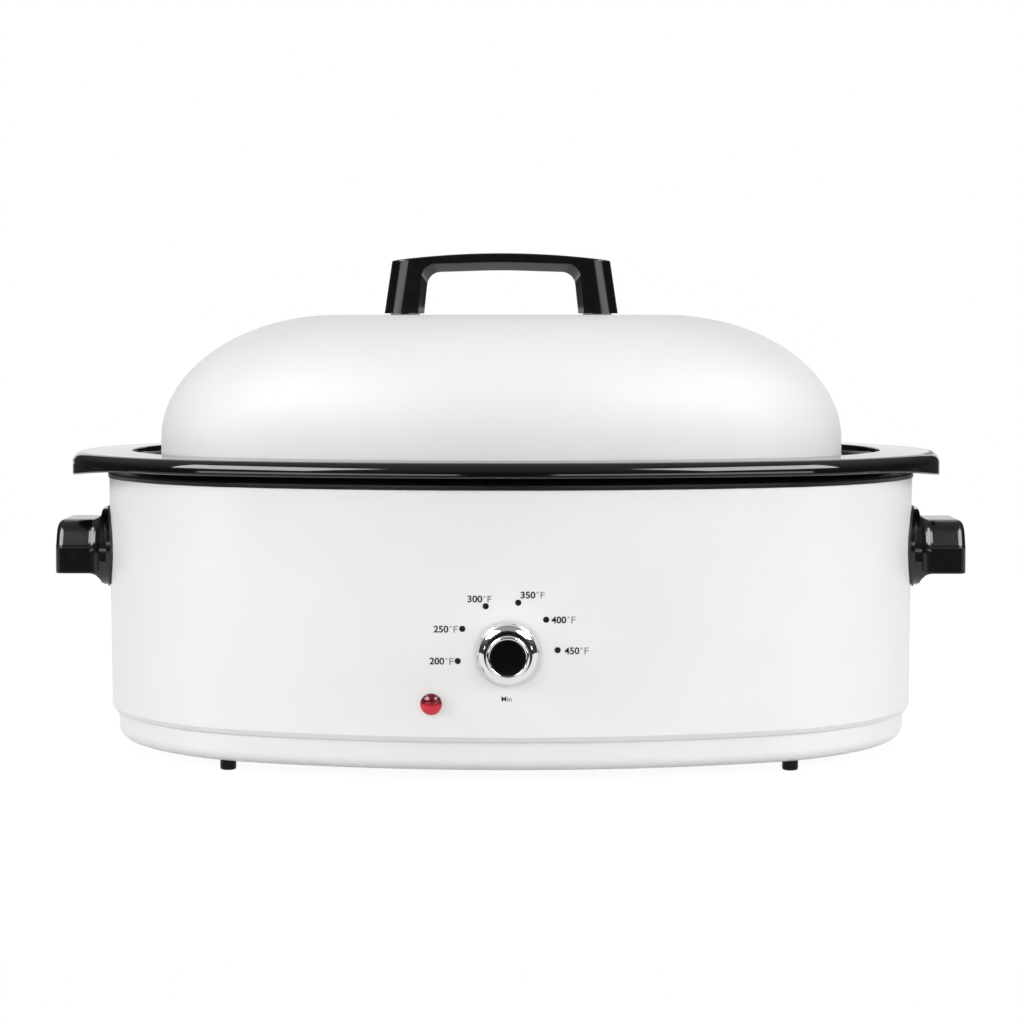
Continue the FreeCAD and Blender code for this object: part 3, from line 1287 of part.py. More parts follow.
def rack_frame():
    """The oval wire that the rack's cross bars lie on."""
    x, y, radius, start, _ = RACK.arcs()[0]
    begin = Vector(x + radius * math.cos(start), y + radius * math.sin(start), Z_RACK)
    tangent = Vector(-math.sin(start), math.cos(start), 0)
    section = Part.Wire([Part.Circle(begin, tangent, RACK_FRAME_RADIUS).toShape()])
    return RACK.wire(Z_RACK).makePipeShell([section], True, True)


def rack_bars():
    """Straight cross bars, laid on the frame and spot welded to it."""
    bars = []
    for index in range(-RACK_BARS, RACK_BARS + 1):
        x = index * RACK_BAR_PITCH
        reach = half_depth_at(RACK, x)
        bars.append(rod(RACK_BAR_RADIUS, Vector(x, -reach, Z_BARS), Vector(x, reach, Z_BARS)))
    return Part.makeCompound(bars)


def rack_runners():
    """Two long wires under the bars, each bent down into two feet."""
    level = Z_BARS - 2 * RACK_BAR_RADIUS - SEAT_GAP
    floor = Z_PAN + REST_GAP + RACK_BAR_RADIUS
    drop = level - floor
    runners = []
    foot_x = RACK.half_length - RACK_FOOT_FROM_END
    foot_y = RACK.half_depth - RACK_FOOT_FROM_SIDE
    for y in (-foot_y, foot_y):
        reach = RACK.end_wall(y, 1)[0].x - 2 * RACK_FRAME_RADIUS
        points = [Vector(-reach, y, level)]
        for x in (-foot_x, foot_x):
            points += [Vector(x - 2 * drop, y, level), Vector(x - drop / 2, y, floor),
                       Vector(x + drop / 2, y, floor), Vector(x + 2 * drop, y, level)]
        points.append(Vector(reach, y, level))
        runners.append(tube_solid(points, RACK_BAR_RADIUS * 2, RACK_BAR_RADIUS))
    return Part.makeCompound(runners)


def rack_pins():
    """Two staples that stand on bars; the bails turn on their tops."""
    foot = Z_BARS + RACK_BAR_RADIUS + SEAT_GAP
    half = PIN_SPREAD / 2
    pins = []
    for x in (-PIN_X, PIN_X):
        points = [Vector(x, -half, foot), Vector(x, -half, Z_PIN),
                  Vector(x, half, Z_PIN), Vector(x, half, foot)]
        pins.append(tube_solid(points, RACK_FRAME_RADIUS, RACK_BAR_RADIUS))
    return Part.makeCompound(pins)


def rack_handle(side):
    """A wire bail with an eye round each end of its pin, folded flat towards the middle."""
    x = side * PIN_X
    half = BAIL_SPREAD / 2
    bore = RACK_BAR_RADIUS + TURN_GAP
    tip = x - side * BAIL_REACH
    root = x - side * (bore + BAIL_EYE_WALL / 2)
    bail = tube_solid([Vector(root, -half, Z_PIN), Vector(tip, -half, Z_PIN),
                       Vector(tip, half, Z_PIN), Vector(root, half, Z_PIN)],
                      BAIL_BEND, BAIL_RADIUS)
    for end in (-1, 1):
        middle = end * half
        low = Vector(x, middle - BAIL_EYE_LENGTH / 2, Z_PIN)
        high = Vector(x, middle + BAIL_EYE_LENGTH / 2, Z_PIN)
        bail = bail.fuse(rod(BAIL_EYE_RADIUS, low, high))
    for end in (-1, 1):
        middle = end * half
        low = Vector(x, middle - BAIL_EYE_LENGTH, Z_PIN)
        high = Vector(x, middle + BAIL_EYE_LENGTH, Z_PIN)
        bail = bail.cut(rod(bore, low, high))
    return bail


# ------------------------------------------------------------------ export
FRONT_Y = FRONT_WALL.y - KNOB_PROJECTION
BACK_Y = RIM.half_depth
SHIFT = Vector(0, -(FRONT_Y + BACK_Y) / 2, 0)

FOOT_NAMES = ["foot_front_left", "foot_front_right", "foot_rear_left", "foot_rear_right"]

NODES = {
    "outer_shell": outer_shell(),
    "base_pan": base_pan(),
    "inner_liner": inner_liner(),
    "band_heater": band_heater(),
    "heater_strap": heater_strap(),
    "heater_terminals": heater_terminals(),
    "insulation": insulation(),
    "heat_shield": heat_shield(),
    "centre_stud": centre_stud(),
    "stud_spacers": stud_spacers(),
    "centre_nut": centre_nut(),
    "side_handle_left": side_handle(-1),
    "side_handle_right": side_handle(1),
    "handle_gasket_left": handle_gasket(-1),
    "handle_gasket_right": handle_gasket(1),
    "side_handle_screws": side_handle_screws(),
    "thermostat_body": thermostat_body(),
    "thermostat_screws": thermostat_screws(),
    "thermostat_probe": thermostat_probe(),
    "thermostat_shaft": thermostat_shaft(),
    "knob_skirt": knob_skirt(),
    "knob_ring": knob_ring(),
    "knob_cap": knob_cap(),
    "knob_hub": knob_hub(),
    "pilot_lens": pilot_lens(),
    "pilot_lamp": pilot_lamp(),
    "lamp_retainer": lamp_retainer(),
    "cord_gland": cord_gland(),
    "gland_nut": gland_nut(),
    "terminal_block": terminal_block(),
    "block_screws": block_screws(),
    "lead_wires": lead_wires(),
    "cookwell": cookwell(),
    "rack_frame": rack_frame(),
    "rack_bars": rack_bars(),
    "rack_runners": rack_runners(),
    "rack_pins": rack_pins(),
    "rack_handle_left": rack_handle(-1),
    "rack_handle_right": rack_handle(1),
    "lid_shell": lid_shell(),
    "lid_handle": lid_handle(),
    "lid_handle_pads": lid_handle_pads(),
    "lid_handle_washers": lid_handle_washers(),
    "lid_handle_screws": lid_handle_screws(),
}
for name, spot in zip(FOOT_NAMES, foot_spots()):
    NODES[name] = foot(spot)

LOOSE = {name: PAN_OFFSET for name in NODES if name == "cookwell" or name.startswith("rack_")}
LOOSE.update({name: LID_OFFSET for name in NODES if name.startswith("lid_")})

for name, shape in NODES.items():
    moved = shape.copy()
    moved.translate(SHIFT + Vector(LOOSE.get(name, 0), 0, 0))
    moved.exportStep("parts/" + name + ".step")
    solids = len(moved.Solids)
    print(f"{name:22s} solids {solids} valid {moved.isValid()} volume {moved.Volume:12.1f}")

print("shift along Y", round(SHIFT.y, 4))
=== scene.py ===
import math

import bpy
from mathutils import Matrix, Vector


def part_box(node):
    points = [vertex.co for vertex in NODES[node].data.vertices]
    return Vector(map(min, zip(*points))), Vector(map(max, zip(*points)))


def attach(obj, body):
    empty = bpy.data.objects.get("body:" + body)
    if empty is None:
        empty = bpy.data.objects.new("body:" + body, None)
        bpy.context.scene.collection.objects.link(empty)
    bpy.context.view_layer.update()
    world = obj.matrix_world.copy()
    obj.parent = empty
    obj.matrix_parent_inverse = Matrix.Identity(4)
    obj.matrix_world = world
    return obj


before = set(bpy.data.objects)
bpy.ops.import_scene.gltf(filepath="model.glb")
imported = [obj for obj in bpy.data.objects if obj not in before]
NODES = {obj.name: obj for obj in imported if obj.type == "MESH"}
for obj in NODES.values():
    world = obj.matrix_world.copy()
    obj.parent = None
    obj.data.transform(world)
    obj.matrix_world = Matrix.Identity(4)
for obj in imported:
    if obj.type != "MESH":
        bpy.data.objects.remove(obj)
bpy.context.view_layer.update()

MM = 0.001

# ------------------------------------------------------------------ the oven's measures
shell_low, shell_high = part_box("outer_shell")
ring_low, ring_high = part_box("knob_ring")
AXIS_Y = (shell_low.y + shell_high.y) / 2
KNOB_Z = (ring_low.z + ring_high.z) / 2  # the height of the knob's axis
HALF_DEPTH = 205.0 * MM
FRONT_RADIUS = 384.231 * MM  # of the shell's front, seen from above
FRONT_CENTRE = FRONT_RADIUS - HALF_DEPTH
SHELL_TAPER = 1.2 * MM       # how much narrower the shell is at its foot
HEM_HEIGHT = 3.2 * MM        # of the shell's turned-in lower edge


def front_point(x, z, lift):
    """A point on the shell's front, raised off it by a small distance."""
    share = (shell_high.z - z) / (shell_high.z - shell_low.z - HEM_HEIGHT)
    radius = FRONT_RADIUS - SHELL_TAPER * share + lift
    return Vector((x, AXIS_Y + FRONT_CENTRE - math.sqrt(radius * radius - x * x), z))


# ------------------------------------------------------------------ node helpers
def node(tree, kind, **settings):
    made = tree.nodes.new(kind)
    for name, value in settings.items():
        setattr(made, name, value)
    return made


def link(tree, source, target):
    tree.links.new(source, target)


def start_group(name, inputs, outputs):
    """A node group with named sockets, its input node and its output node."""
    tree = bpy.data.node_groups.new(name, "ShaderNodeTree")
    for label, kind, value in inputs:
        socket = tree.interface.new_socket(label, in_out="INPUT", socket_type=kind)
        socket.default_value = value
    for label, kind in outputs:
        tree.interface.new_socket(label, in_out="OUTPUT", socket_type=kind)
    return tree, node(tree, "NodeGroupInput"), node(tree, "NodeGroupOutput")


def fill(tree, socket, value):
    """Set a socket to a number, or feed it from another node."""
    if isinstance(value, float):
        socket.default_value = value
    else:
        link(tree, value, socket)


def noise(tree, vector, detail, scale):
    made = node(tree, "ShaderNodeTexNoise")
    made.inputs["Detail"].default_value = detail
    link(tree, vector, made.inputs["Vector"])
    fill(tree, made.inputs["Scale"], scale)
    return made.outputs["Fac"]


TONE_SPREAD = 0.3, 0.7       # the part of the noise that runs from dark to light
ROUGH_SCALE = 140.0          # of the noise that moves the roughness


def make_tone_group():
    """Slow drift of tone between two colours, and of roughness between two values."""
    tree, enter, leave = start_group("tone_drift", [
        ("Dark", "NodeSocketColor", (0, 0, 0, 1)),
        ("Light", "NodeSocketColor", (1, 1, 1, 1)),
        ("Smooth", "NodeSocketFloat", 0.1),
        ("Rough", "NodeSocketFloat", 0.2),
        ("Patch Scale", "NodeSocketFloat", 12.0),
    ], [("Colour", "NodeSocketColor"), ("Roughness", "NodeSocketFloat")])
    place = node(tree, "ShaderNodeTexCoord").outputs["Object"]
    patch = noise(tree, place, 3.0, enter.outputs["Patch Scale"])
    spread = node(tree, "ShaderNodeMapRange")
    spread.inputs["From Min"].default_value, spread.inputs["From Max"].default_value = TONE_SPREAD
    link(tree, patch, spread.inputs["Value"])
    mix = node(tree, "ShaderNodeMix", data_type="RGBA")
    link(tree, spread.outputs["Result"], mix.inputs["Factor"])
    link(tree, enter.outputs["Dark"], mix.inputs["A"])
    link(tree, enter.outputs["Light"], mix.inputs["B"])
    fine = noise(tree, place, 2.0, ROUGH_SCALE)
    rough = node(tree, "ShaderNodeMapRange")
    link(tree, fine, rough.inputs["Value"])
    link(tree, enter.outputs["Smooth"], rough.inputs["To Min"])
    link(tree, enter.outputs["Rough"], rough.inputs["To Max"])
    link(tree, mix.outputs["Result"], leave.inputs["Colour"])
    link(tree, rough.outputs["Result"], leave.inputs["Roughness"])
    return tree


def make_relief_group():
    """Slow ripple and fine grain of a surface, as one normal."""
    tree, enter, leave = start_group("surface_relief", [
        ("Ripple Scale", "NodeSocketFloat", 60.0),
        ("Ripple Height", "NodeSocketFloat", 0.00002),
        ("Grain Scale", "NodeSocketFloat", 1500.0),
        ("Grain Height", "NodeSocketFloat", 0.000004),
        ("Stretch", "NodeSocketVector", (1, 1, 1)),
    ], [("Normal", "NodeSocketVector")])
    place = node(tree, "ShaderNodeTexCoord").outputs["Object"]
    stretched = node(tree, "ShaderNodeVectorMath", operation="MULTIPLY")
    link(tree, place, stretched.inputs[0])
    link(tree, enter.outputs["Stretch"], stretched.inputs[1])
    ripple = noise(tree, stretched.outputs["Vector"], 1.0, enter.outputs["Ripple Scale"])
    grain = noise(tree, stretched.outputs["Vector"], 2.0, enter.outputs["Grain Scale"])
    first = node(tree, "ShaderNodeBump")
    link(tree, ripple, first.inputs["Height"])
    link(tree, enter.outputs["Ripple Height"], first.inputs["Distance"])
    second = node(tree, "ShaderNodeBump")
    link(tree, grain, second.inputs["Height"])
    link(tree, enter.outputs["Grain Height"], second.inputs["Distance"])
    link(tree, first.outputs["Normal"], second.inputs["Normal"])
    link(tree, second.outputs["Normal"], leave.inputs["Normal"])
    return tree


TONE = make_tone_group()
RELIEF = make_relief_group()


def material(name, dark, light, smooth, rough, patch=12.0, ripple=(60.0, 0.0),
             grain=(1500.0, 0.0), stretch=(1, 1, 1), **shader):
    """A node material: drifting tone, drifting roughness and relief on one shader.

    Its roughness lies between smooth and rough. The ripple and the grain are each a noise
    scale and a height in metres.
    """
    made = bpy.data.materials.new(name)
    made.use_nodes = True
    tree = made.node_tree
    surface = tree.nodes["Principled BSDF"]
    for label, value in shader.items():
        surface.inputs[label.replace("_", " ")].default_value = value
    tone = node(tree, "ShaderNodeGroup", node_tree=TONE)
    tone.inputs["Dark"].default_value = (*dark, 1)
    tone.inputs["Light"].default_value = (*light, 1)
    tone.inputs["Smooth"].default_value = smooth
    tone.inputs["Rough"].default_value = rough
    tone.inputs["Patch Scale"].default_value = patch
    link(tree, tone.outputs["Colour"], surface.inputs["Base Color"])
    link(tree, tone.outputs["Roughness"], surface.inputs["Roughness"])
    relief = node(tree, "ShaderNodeGroup", node_tree=RELIEF)
    for label, (scale, height) in (("Ripple", ripple), ("Grain", grain)):
        relief.inputs[label + " Scale"].default_value = scale
        relief.inputs[label + " Height"].default_value = height
    relief.inputs["Stretch"].default_value = stretch
    link(tree, relief.outputs["Normal"], surface.inputs["Normal"])
    return made


def grey(value):
    return (value, value, value)


# ------------------------------------------------------------------ finishes
WHITES = (0.80, 0.80, 0.79), (0.83, 0.83, 0.82)

body_enamel = material("body_enamel", *WHITES, 0.32, 0.42, ripple=(45.0, 0.00002),
                       grain=(900.0, 0.000003))
base_enamel = material("base_enamel", *WHITES, 0.32, 0.42, ripple=(45.0, 0.00002),
                       grain=(900.0, 0.000003))
lid_enamel = material("lid_enamel", *WHITES, 0.45, 0.55, ripple=(40.0, 0.00002),
                      grain=(900.0, 0.000003), Specular_IOR_Level=0.25)
cookwell_enamel = material("cookwell_enamel", grey(0.002), grey(0.004), 0.05, 0.09, patch=30.0,
                           ripple=(70.0, 0.00003), grain=(700.0, 0.000004))
liner_enamel = material("liner_enamel", grey(0.006), grey(0.010), 0.18, 0.3, patch=30.0,
                        ripple=(70.0, 0.00003), grain=(700.0, 0.000006))
lid_handle_phenolic = material("lid_handle_phenolic", grey(0.003), grey(0.005), 0.10, 0.16,
                               grain=(1200.0, 0.000004))
side_handle_phenolic = material("side_handle_phenolic", grey(0.002), grey(0.004), 0.13, 0.19,
                                grain=(1200.0, 0.000004))
foot_black = material("foot_black", grey(0.003), grey(0.005), 0.25, 0.35,
                      grain=(1200.0, 0.000004), Specular_IOR_Level=0.12)
gasket = material("gasket", grey(0.010), grey(0.018), 0.5, 0.65, grain=(2500.0, 0.00001))
knob_chrome = material("knob_chrome", grey(0.72), grey(0.78), 0.03, 0.07,
                       ripple=(120.0, 0.000004), grain=(3000.0, 0.0000005), Metallic=1.0)
knob_black = material("knob_black", grey(0.006), grey(0.010), 0.2, 0.3, grain=(1500.0, 0.000003))
knob_cap_black = material("knob_cap_black", grey(0.001), grey(0.003), 0.06, 0.1,
                          ripple=(160.0, 0.000006))
lens_red = material("lens_red", (0.60, 0.006, 0.030), (0.72, 0.010, 0.045), 0.04, 0.08,
                    patch=200.0, ripple=(500.0, 0.00002), IOR=1.49)
lamp_glass = material("lamp_glass", (0.9, 0.55, 0.4), (1.0, 0.75, 0.6), 0.05, 0.1,
                      Transmission_Weight=0.5)
plated_steel = material("plated_steel", (0.5, 0.5, 0.47), (0.62, 0.61, 0.57), 0.25, 0.4,
                        grain=(1800.0, 0.000004), stretch=(1, 1, 0.1), Metallic=1.0)
heater_steel = material("heater_steel", (0.3, 0.28, 0.25), (0.42, 0.38, 0.33), 0.4, 0.55,
                        patch=20.0, grain=(800.0, 0.00002), stretch=(0.1, 0.1, 1), Metallic=1.0)
shield_steel = material("shield_steel", (0.55, 0.55, 0.55), (0.68, 0.68, 0.68), 0.3, 0.45,
                        patch=40.0, grain=(600.0, 0.00001), Metallic=1.0)
probe_copper = material("probe_copper", (0.6, 0.28, 0.14), (0.75, 0.4, 0.22), 0.25, 0.4,
                        patch=60.0, Metallic=1.0)
glass_fibre = material("glass_fibre", (0.62, 0.52, 0.25), (0.85, 0.76, 0.45), 0.85, 0.95,
                       patch=80.0, ripple=(60.0, 0.001), grain=(500.0, 0.0004))
thermostat_moulding = material("thermostat_moulding", (0.05, 0.03, 0.02), (0.08, 0.05, 0.03),
                               0.35, 0.5, grain=(1200.0, 0.00001))
terminal_moulding = material("terminal_moulding", (0.7, 0.66, 0.56), (0.8, 0.77, 0.68), 0.4, 0.5,
                             grain=(900.0, 0.00001))
gland_moulding = material("gland_moulding", grey(0.010), grey(0.016), 0.35, 0.5,
                          grain=(1500.0, 0.000008))
wire_sleeve = material("wire_sleeve", (0.5, 0.46, 0.36), (0.66, 0.62, 0.5), 0.6, 0.75,
                       patch=200.0, grain=(2200.0, 0.00003))
rack_wire = material("rack_wire", grey(0.6), grey(0.68), 0.12, 0.2, patch=40.0,
                     grain=(1500.0, 0.000003), Metallic=1.0)
print_ink = material("print_ink", grey(0.003), grey(0.006), 0.5, 0.6, patch=300.0,
                     Specular_IOR_Level=0.2)
unit_ink = material("unit_ink", grey(0.13), grey(0.16), 0.5, 0.6, patch=300.0,
                    Specular_IOR_Level=0.2)
pointer_paint = material("pointer_paint", grey(0.003), grey(0.006), 0.5, 0.6, patch=300.0)

LENS_SHADE_BAND = 0.35, 0.65       # the shares of the lens's height between which its painted shade sets in
# how much of the lens's colour is left at its top, under the painted shade
LENS_SHADE_SHARE = 0.22


def darken_upwards(made, low, high, share):
    """Painted shade: multiply a material's colour by a share above a band of height in the
    object's box.
    """
    tree = made.node_tree
    surface = tree.nodes["Principled BSDF"]
    plain = surface.inputs["Base Color"].links[0].from_socket
    place = node(tree, "ShaderNodeSeparateXYZ")
    link(tree, node(tree, "ShaderNodeTexCoord").outputs["Generated"], place.inputs[0])
    fall = node(tree, "ShaderNodeMapRange", interpolation_type="SMOOTHSTEP")
    fall.inputs["From Min"].default_value = low
    fall.inputs["From Max"].default_value = high
    fall.inputs["To Min"].default_value = 1.0
    fall.inputs["To Max"].default_value = share
    link(tree, place.outputs["Z"], fall.inputs["Value"])
    scale = node(tree, "ShaderNodeVectorMath", operation="SCALE")
    link(tree, plain, scale.inputs[0])
    link(tree, fall.outputs["Result"], scale.inputs["Scale"])
    link(tree, scale.outputs["Vector"], surface.inputs["Base Color"])


# painted shade on the lens's upper part, in place of the light that passes through the clear red
# dome and brightens its lower part
darken_upwards(lens_red, *LENS_SHADE_BAND, LENS_SHADE_SHARE)

FINISHES = {
    body_enamel: ["outer_shell"],
    base_enamel: ["base_pan"],
    lid_enamel: ["lid_shell"],
    cookwell_enamel: ["cookwell"],
    liner_enamel: ["inner_liner"],
    lid_handle_phenolic: ["lid_handle"],
    side_handle_phenolic: ["side_handle_left", "side_handle_right"],
    foot_black: ["foot_front_left", "foot_front_right", "foot_rear_left", "foot_rear_right"],
    gasket: ["handle_gasket_left", "handle_gasket_right", "lid_handle_pads"],
    knob_chrome: ["knob_skirt", "knob_ring"],
    knob_black: ["knob_hub"],
    knob_cap_black: ["knob_cap"],
    lens_red: ["pilot_lens"],
    lamp_glass: ["pilot_lamp"],
    plated_steel: ["heater_strap", "heater_terminals", "centre_stud", "stud_spacers", "centre_nut",
                   "side_handle_screws", "thermostat_screws", "lamp_retainer", "gland_nut",
                   "block_screws", "thermostat_shaft", "lid_handle_washers", "lid_handle_screws"],
    heater_steel: ["band_heater"],
    shield_steel: ["heat_shield"],
    probe_copper: ["thermostat_probe"],
    glass_fibre: ["insulation"],
    thermostat_moulding: ["thermostat_body"],
    terminal_moulding: ["terminal_block"],
    gland_moulding: ["cord_gland"],
    wire_sleeve: ["lead_wires"],
    rack_wire: ["rack_frame", "rack_bars", "rack_runners", "rack_pins", "rack_handle_left",
                "rack_handle_right"],
}
for finish, names in FINISHES.items():
    for name in names:
        mesh = NODES[name].data
        if not mesh.materials:
            mesh.materials.append(finish)
        for index in range(len(mesh.materials)):
            mesh.materials[index] = finish


# ------------------------------------------------------------------ printed marks
def collect(name, vertices, faces, finish, body, slot_name):
    """Add a piece of the scene's own, on a body of the frame."""
    mesh = bpy.data.meshes.new(name)
    mesh.from_pydata(vertices, [], faces)
    mesh.materials.append(finish)
    piece = bpy.data.objects.new(name, mesh)
    bpy.context.scene.collection.objects.link(piece)
    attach(piece, body)


def text_outline(words, bold):
    """The flat mesh of a short text: its points and faces, and its box."""
    curve = bpy.data.curves.new("words", "FONT")
    curve.body = words
    curve.offset = bold
    holder = bpy.data.objects.new("words", curve)
    bpy.context.scene.collection.objects.link(holder)
    bpy.context.view_layer.update()
    mesh = holder.to_mesh()
    points = [vertex.co.copy() for vertex in mesh.vertices]
    faces = [list(polygon.vertices) for polygon in mesh.polygons]
    holder.to_mesh_clear()
    bpy.data.objects.remove(holder)
    bpy.data.curves.remove(curve)
    low = Vector((min(p.x for p in points), min(p.y for p in points)))
    high = Vector((max(p.x for p in points), max(p.y for p in points)))
    return points, faces, low, high


def printed_text(words, left, base, width, height, bold):
    """A short text on the shell's front, stretched to a width and a height."""
    points, faces, low, high = text_outline(words, bold)
    wide, tall = width / (high.x - low.x), height / (high.y - low.y)
    placed = [front_point(left + (p.x - low.x) * wide, KNOB_Z + base + (p.y - low.y) * tall,
                          PRINT_LIFT)
              for p in points]
    return placed, faces


def joined(parts):
    """The points and faces of several marks, as one mesh."""
    vertices, faces = [], []
    for points, polygons in parts:
        first = len(vertices)
        vertices += points
        faces += [[index + first for index in polygon] for polygon in polygons]
    return vertices, faces


def printed_ring(x, z, inner, outer, count):
    """A flat printed ring, or a dot if its inner radius is very small."""
    points = []
    for step in range(count):
        angle = 2 * math.pi * step / count
        for radius in (outer, inner):
            points.append(front_point(x + radius * math.cos(angle),
                                      KNOB_Z + z + radius * math.sin(angle), PRINT_LIFT))
    faces = []
    for step in range(count):
        a, b = 2 * step, 2 * ((step + 1) % count)
        faces.append([a, b, b + 1, a + 1])
    return points, faces


PRINT_LIFT = 0.06 * MM       # how far the print lies above the enamel
DIAL_X = -0.6 * MM           # the printed circle's middle, from the knob's axis
DIAL_RISE = 1.0 * MM
DIAL_RADIUS = 30.25 * MM
DOT_START = math.radians(190.9)
DOT_STEP = math.radians(37.84)
DOT_RADIUS = 1.87 * MM
DOT_CORE = 0.02 * MM         # the tiny hole in the middle of a dot
DOT_SIDES = 40
# each temperature with the left edge and base line of its number, in mm from the knob's axis
MARKS = [(200, -47.3, -7.0), (250, -44.8, 12.3), (300, -24.4, 30.6), (350, 7.4, 33.0),
         (400, 25.9, 18.0), (450, 33.8, -0.7)]
DIGITS_WIDTH = 8.9 * MM
DIGITS_HEIGHT = 4.2 * MM
DIGITS_BOLD = 0.022          # how far the outline grows, as a share of the font's size
SIGN_X = 10.2 * MM           # the degree sign's middle, from its number's left edge and base line
SIGN_RISE = 3.5 * MM
SIGN_INNER = 0.3 * MM
SIGN_OUTER = 0.6 * MM
SIGN_SIDES = 20
UNIT_X = 12.0 * MM           # the unit's left edge, from its number's
UNIT_WIDTH = 2.5 * MM
UNIT_HEIGHT = 4.0 * MM
UNIT_BOLD = -0.004
LOWEST_X = -4.0 * MM         # the word for the lowest setting, from the knob's axis
LOWEST_BASE = -29.0 * MM
LOWEST_WIDTH = 6.0 * MM
LOWEST_HEIGHT = 3.0 * MM
LOWEST_BOLD = 0.004

dots, numbers, units = [], [], []
for index, (value, left_mm, base_mm) in enumerate(MARKS):
    left, base = left_mm * MM, base_mm * MM
    turn = DOT_START - DOT_STEP * index
    dots.append(printed_ring(DIAL_X + DIAL_RADIUS * math.cos(turn),
                             DIAL_RISE + DIAL_RADIUS * math.sin(turn),
                             DOT_CORE, DOT_RADIUS, DOT_SIDES))
    numbers.append(printed_text(str(value), left, base, DIGITS_WIDTH, DIGITS_HEIGHT, DIGITS_BOLD))
    units.append(printed_ring(left + SIGN_X, base + SIGN_RISE, SIGN_INNER, SIGN_OUTER, SIGN_SIDES))
    units.append(printed_text("F", left + UNIT_X, base, UNIT_WIDTH, UNIT_HEIGHT, UNIT_BOLD))
numbers.append(printed_text("Min", LOWEST_X, LOWEST_BASE, LOWEST_WIDTH, LOWEST_HEIGHT,
                            LOWEST_BOLD))

collect("dial_dots", *joined(dots), print_ink, "oven", "body_enamel")
collect("dial_numbers", *joined(numbers), print_ink, "oven", "body_enamel")
collect("dial_units", *joined(units), unit_ink, "oven", "body_enamel")


# ------------------------------------------------------------------ the knob's pointer
POINTER_ANGLE = math.radians(207.5)  # at rest, from the knob's right side
POINTER_RADIUS = 19.3 * MM
POINTER_DEPTH = 0.35 * MM
POINTER_WIDTH = 3.8 * MM
POINTER_LOW = 0.2 * MM       # the paint's two ends, from the back of the skirt
POINTER_HIGH = 2.2 * MM
POINTER_STEPS = 8


def pointer_bar():
    """Paint that fills the notch in the knob's edge: a short curved bar."""
    skirt_low, skirt_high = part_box("knob_skirt")
    axis_x, axis_z = (skirt_low.x + skirt_high.x) / 2, (skirt_low.z + skirt_high.z) / 2
    half = POINTER_WIDTH / 2 / POINTER_RADIUS
    vertices, faces = [], []
    for step in range(POINTER_STEPS + 1):
        angle = POINTER_ANGLE - half + 2 * half * step / POINTER_STEPS
        for reach in (POINTER_RADIUS - POINTER_DEPTH, POINTER_RADIUS):
            for lift in (POINTER_LOW, POINTER_HIGH):
                vertices.append((axis_x + reach * math.cos(angle), skirt_high.y - lift,
                                 axis_z + reach * math.sin(angle)))
    for step in range(POINTER_STEPS):
        a, b = 4 * step, 4 * step + 4
        for first, second in ((0, 1), (1, 3), (3, 2), (2, 0)):
            faces.append([a + first, a + second, b + second, b + first])
    last = 4 * POINTER_STEPS
    faces += [[0, 2, 3, 1], [last, last + 1, last + 3, last + 2]]
    return vertices, faces


collect("pointer_mark", *pointer_bar(), pointer_paint, "knob", "knob_black")

# ------------------------------------------------------------------ stage
BACKGROUND = "ShaderNodeBackground"
EMISSION = "ShaderNodeEmission"
ROOM_LIGHT = 0.1             # from all round, on surfaces
ROOM_LOW = 0.06              # the same room in mirrored rays, low and high up
ROOM_HIGH = 0.5
ROOM_RISE = 0.15, 0.95       # it brightens while a ray's upward share goes from one to the other
WALL_LIGHT = 0.65            # what the wall behind the oven gives to matt surfaces
WALL_HALF = 0.95             # half of the wall's width
WALL_HEIGHT = 3.0
STAGE_BACK = 2.2             # the wall stands here, and the floor ends at it
FLOOR_FRONT = -0.75          # the pale table ends here, in front of the oven
FLOOR_HALF = 3.0
FLOOR_TONES = 0.48, 0.52     # of its plain surface, which drifts between them
FLOOR_PATCH = 1.5
SHADOW_SHARE = 0.25          # of the floor's look that comes from the light on it
FLOOR_SHOWN = 1.25           # the glow that makes up the rest


def light_path(tree, label):
    return node(tree, "ShaderNodeLightPath").outputs[label]


def mirrored_rays(tree):
    """1 for rays that were mirrored or passed through a clear piece."""
    larger = node(tree, "ShaderNodeMath", operation="MAXIMUM")
    link(tree, light_path(tree, "Is Glossy Ray"), larger.inputs[0])
    link(tree, light_path(tree, "Is Transmission Ray"), larger.inputs[1])
    return larger.outputs["Value"]


def mixed(tree, share, first, second):
    made = node(tree, "ShaderNodeMixShader")
    fill(tree, made.inputs["Fac"], share)
    link(tree, first, made.inputs[1])
    link(tree, second, made.inputs[2])
    return made.outputs["Shader"]


def glow(tree, kind, strength):
    made = node(tree, kind)
    made.inputs["Color"].default_value = (1, 1, 1, 1)
    made.inputs["Strength"].default_value = strength
    return made.outputs[0]


def by_ray(tree, plain, mirror, shown):
    """One shader for lighting, one for mirrored rays and one for the camera."""
    return mixed(tree, light_path(tree, "Is Camera Ray"),
                 mixed(tree, mirrored_rays(tree), plain, mirror), shown)


def mirrored_room(tree):
    """The room as shiny surfaces see it: dark all round, pale overhead."""
    place = node(tree, "ShaderNodeSeparateXYZ")
    link(tree, node(tree, "ShaderNodeTexCoord").outputs["Generated"], place.inputs[0])
    rise = node(tree, "ShaderNodeMapRange", interpolation_type="SMOOTHSTEP")
    rise.inputs["From Min"].default_value, rise.inputs["From Max"].default_value = ROOM_RISE
    rise.inputs["To Min"].default_value = ROOM_LOW
    rise.inputs["To Max"].default_value = ROOM_HIGH
    link(tree, place.outputs["Z"], rise.inputs["Value"])
    made = node(tree, BACKGROUND)
    link(tree, rise.outputs["Result"], made.inputs["Strength"])
    return made.outputs[0]


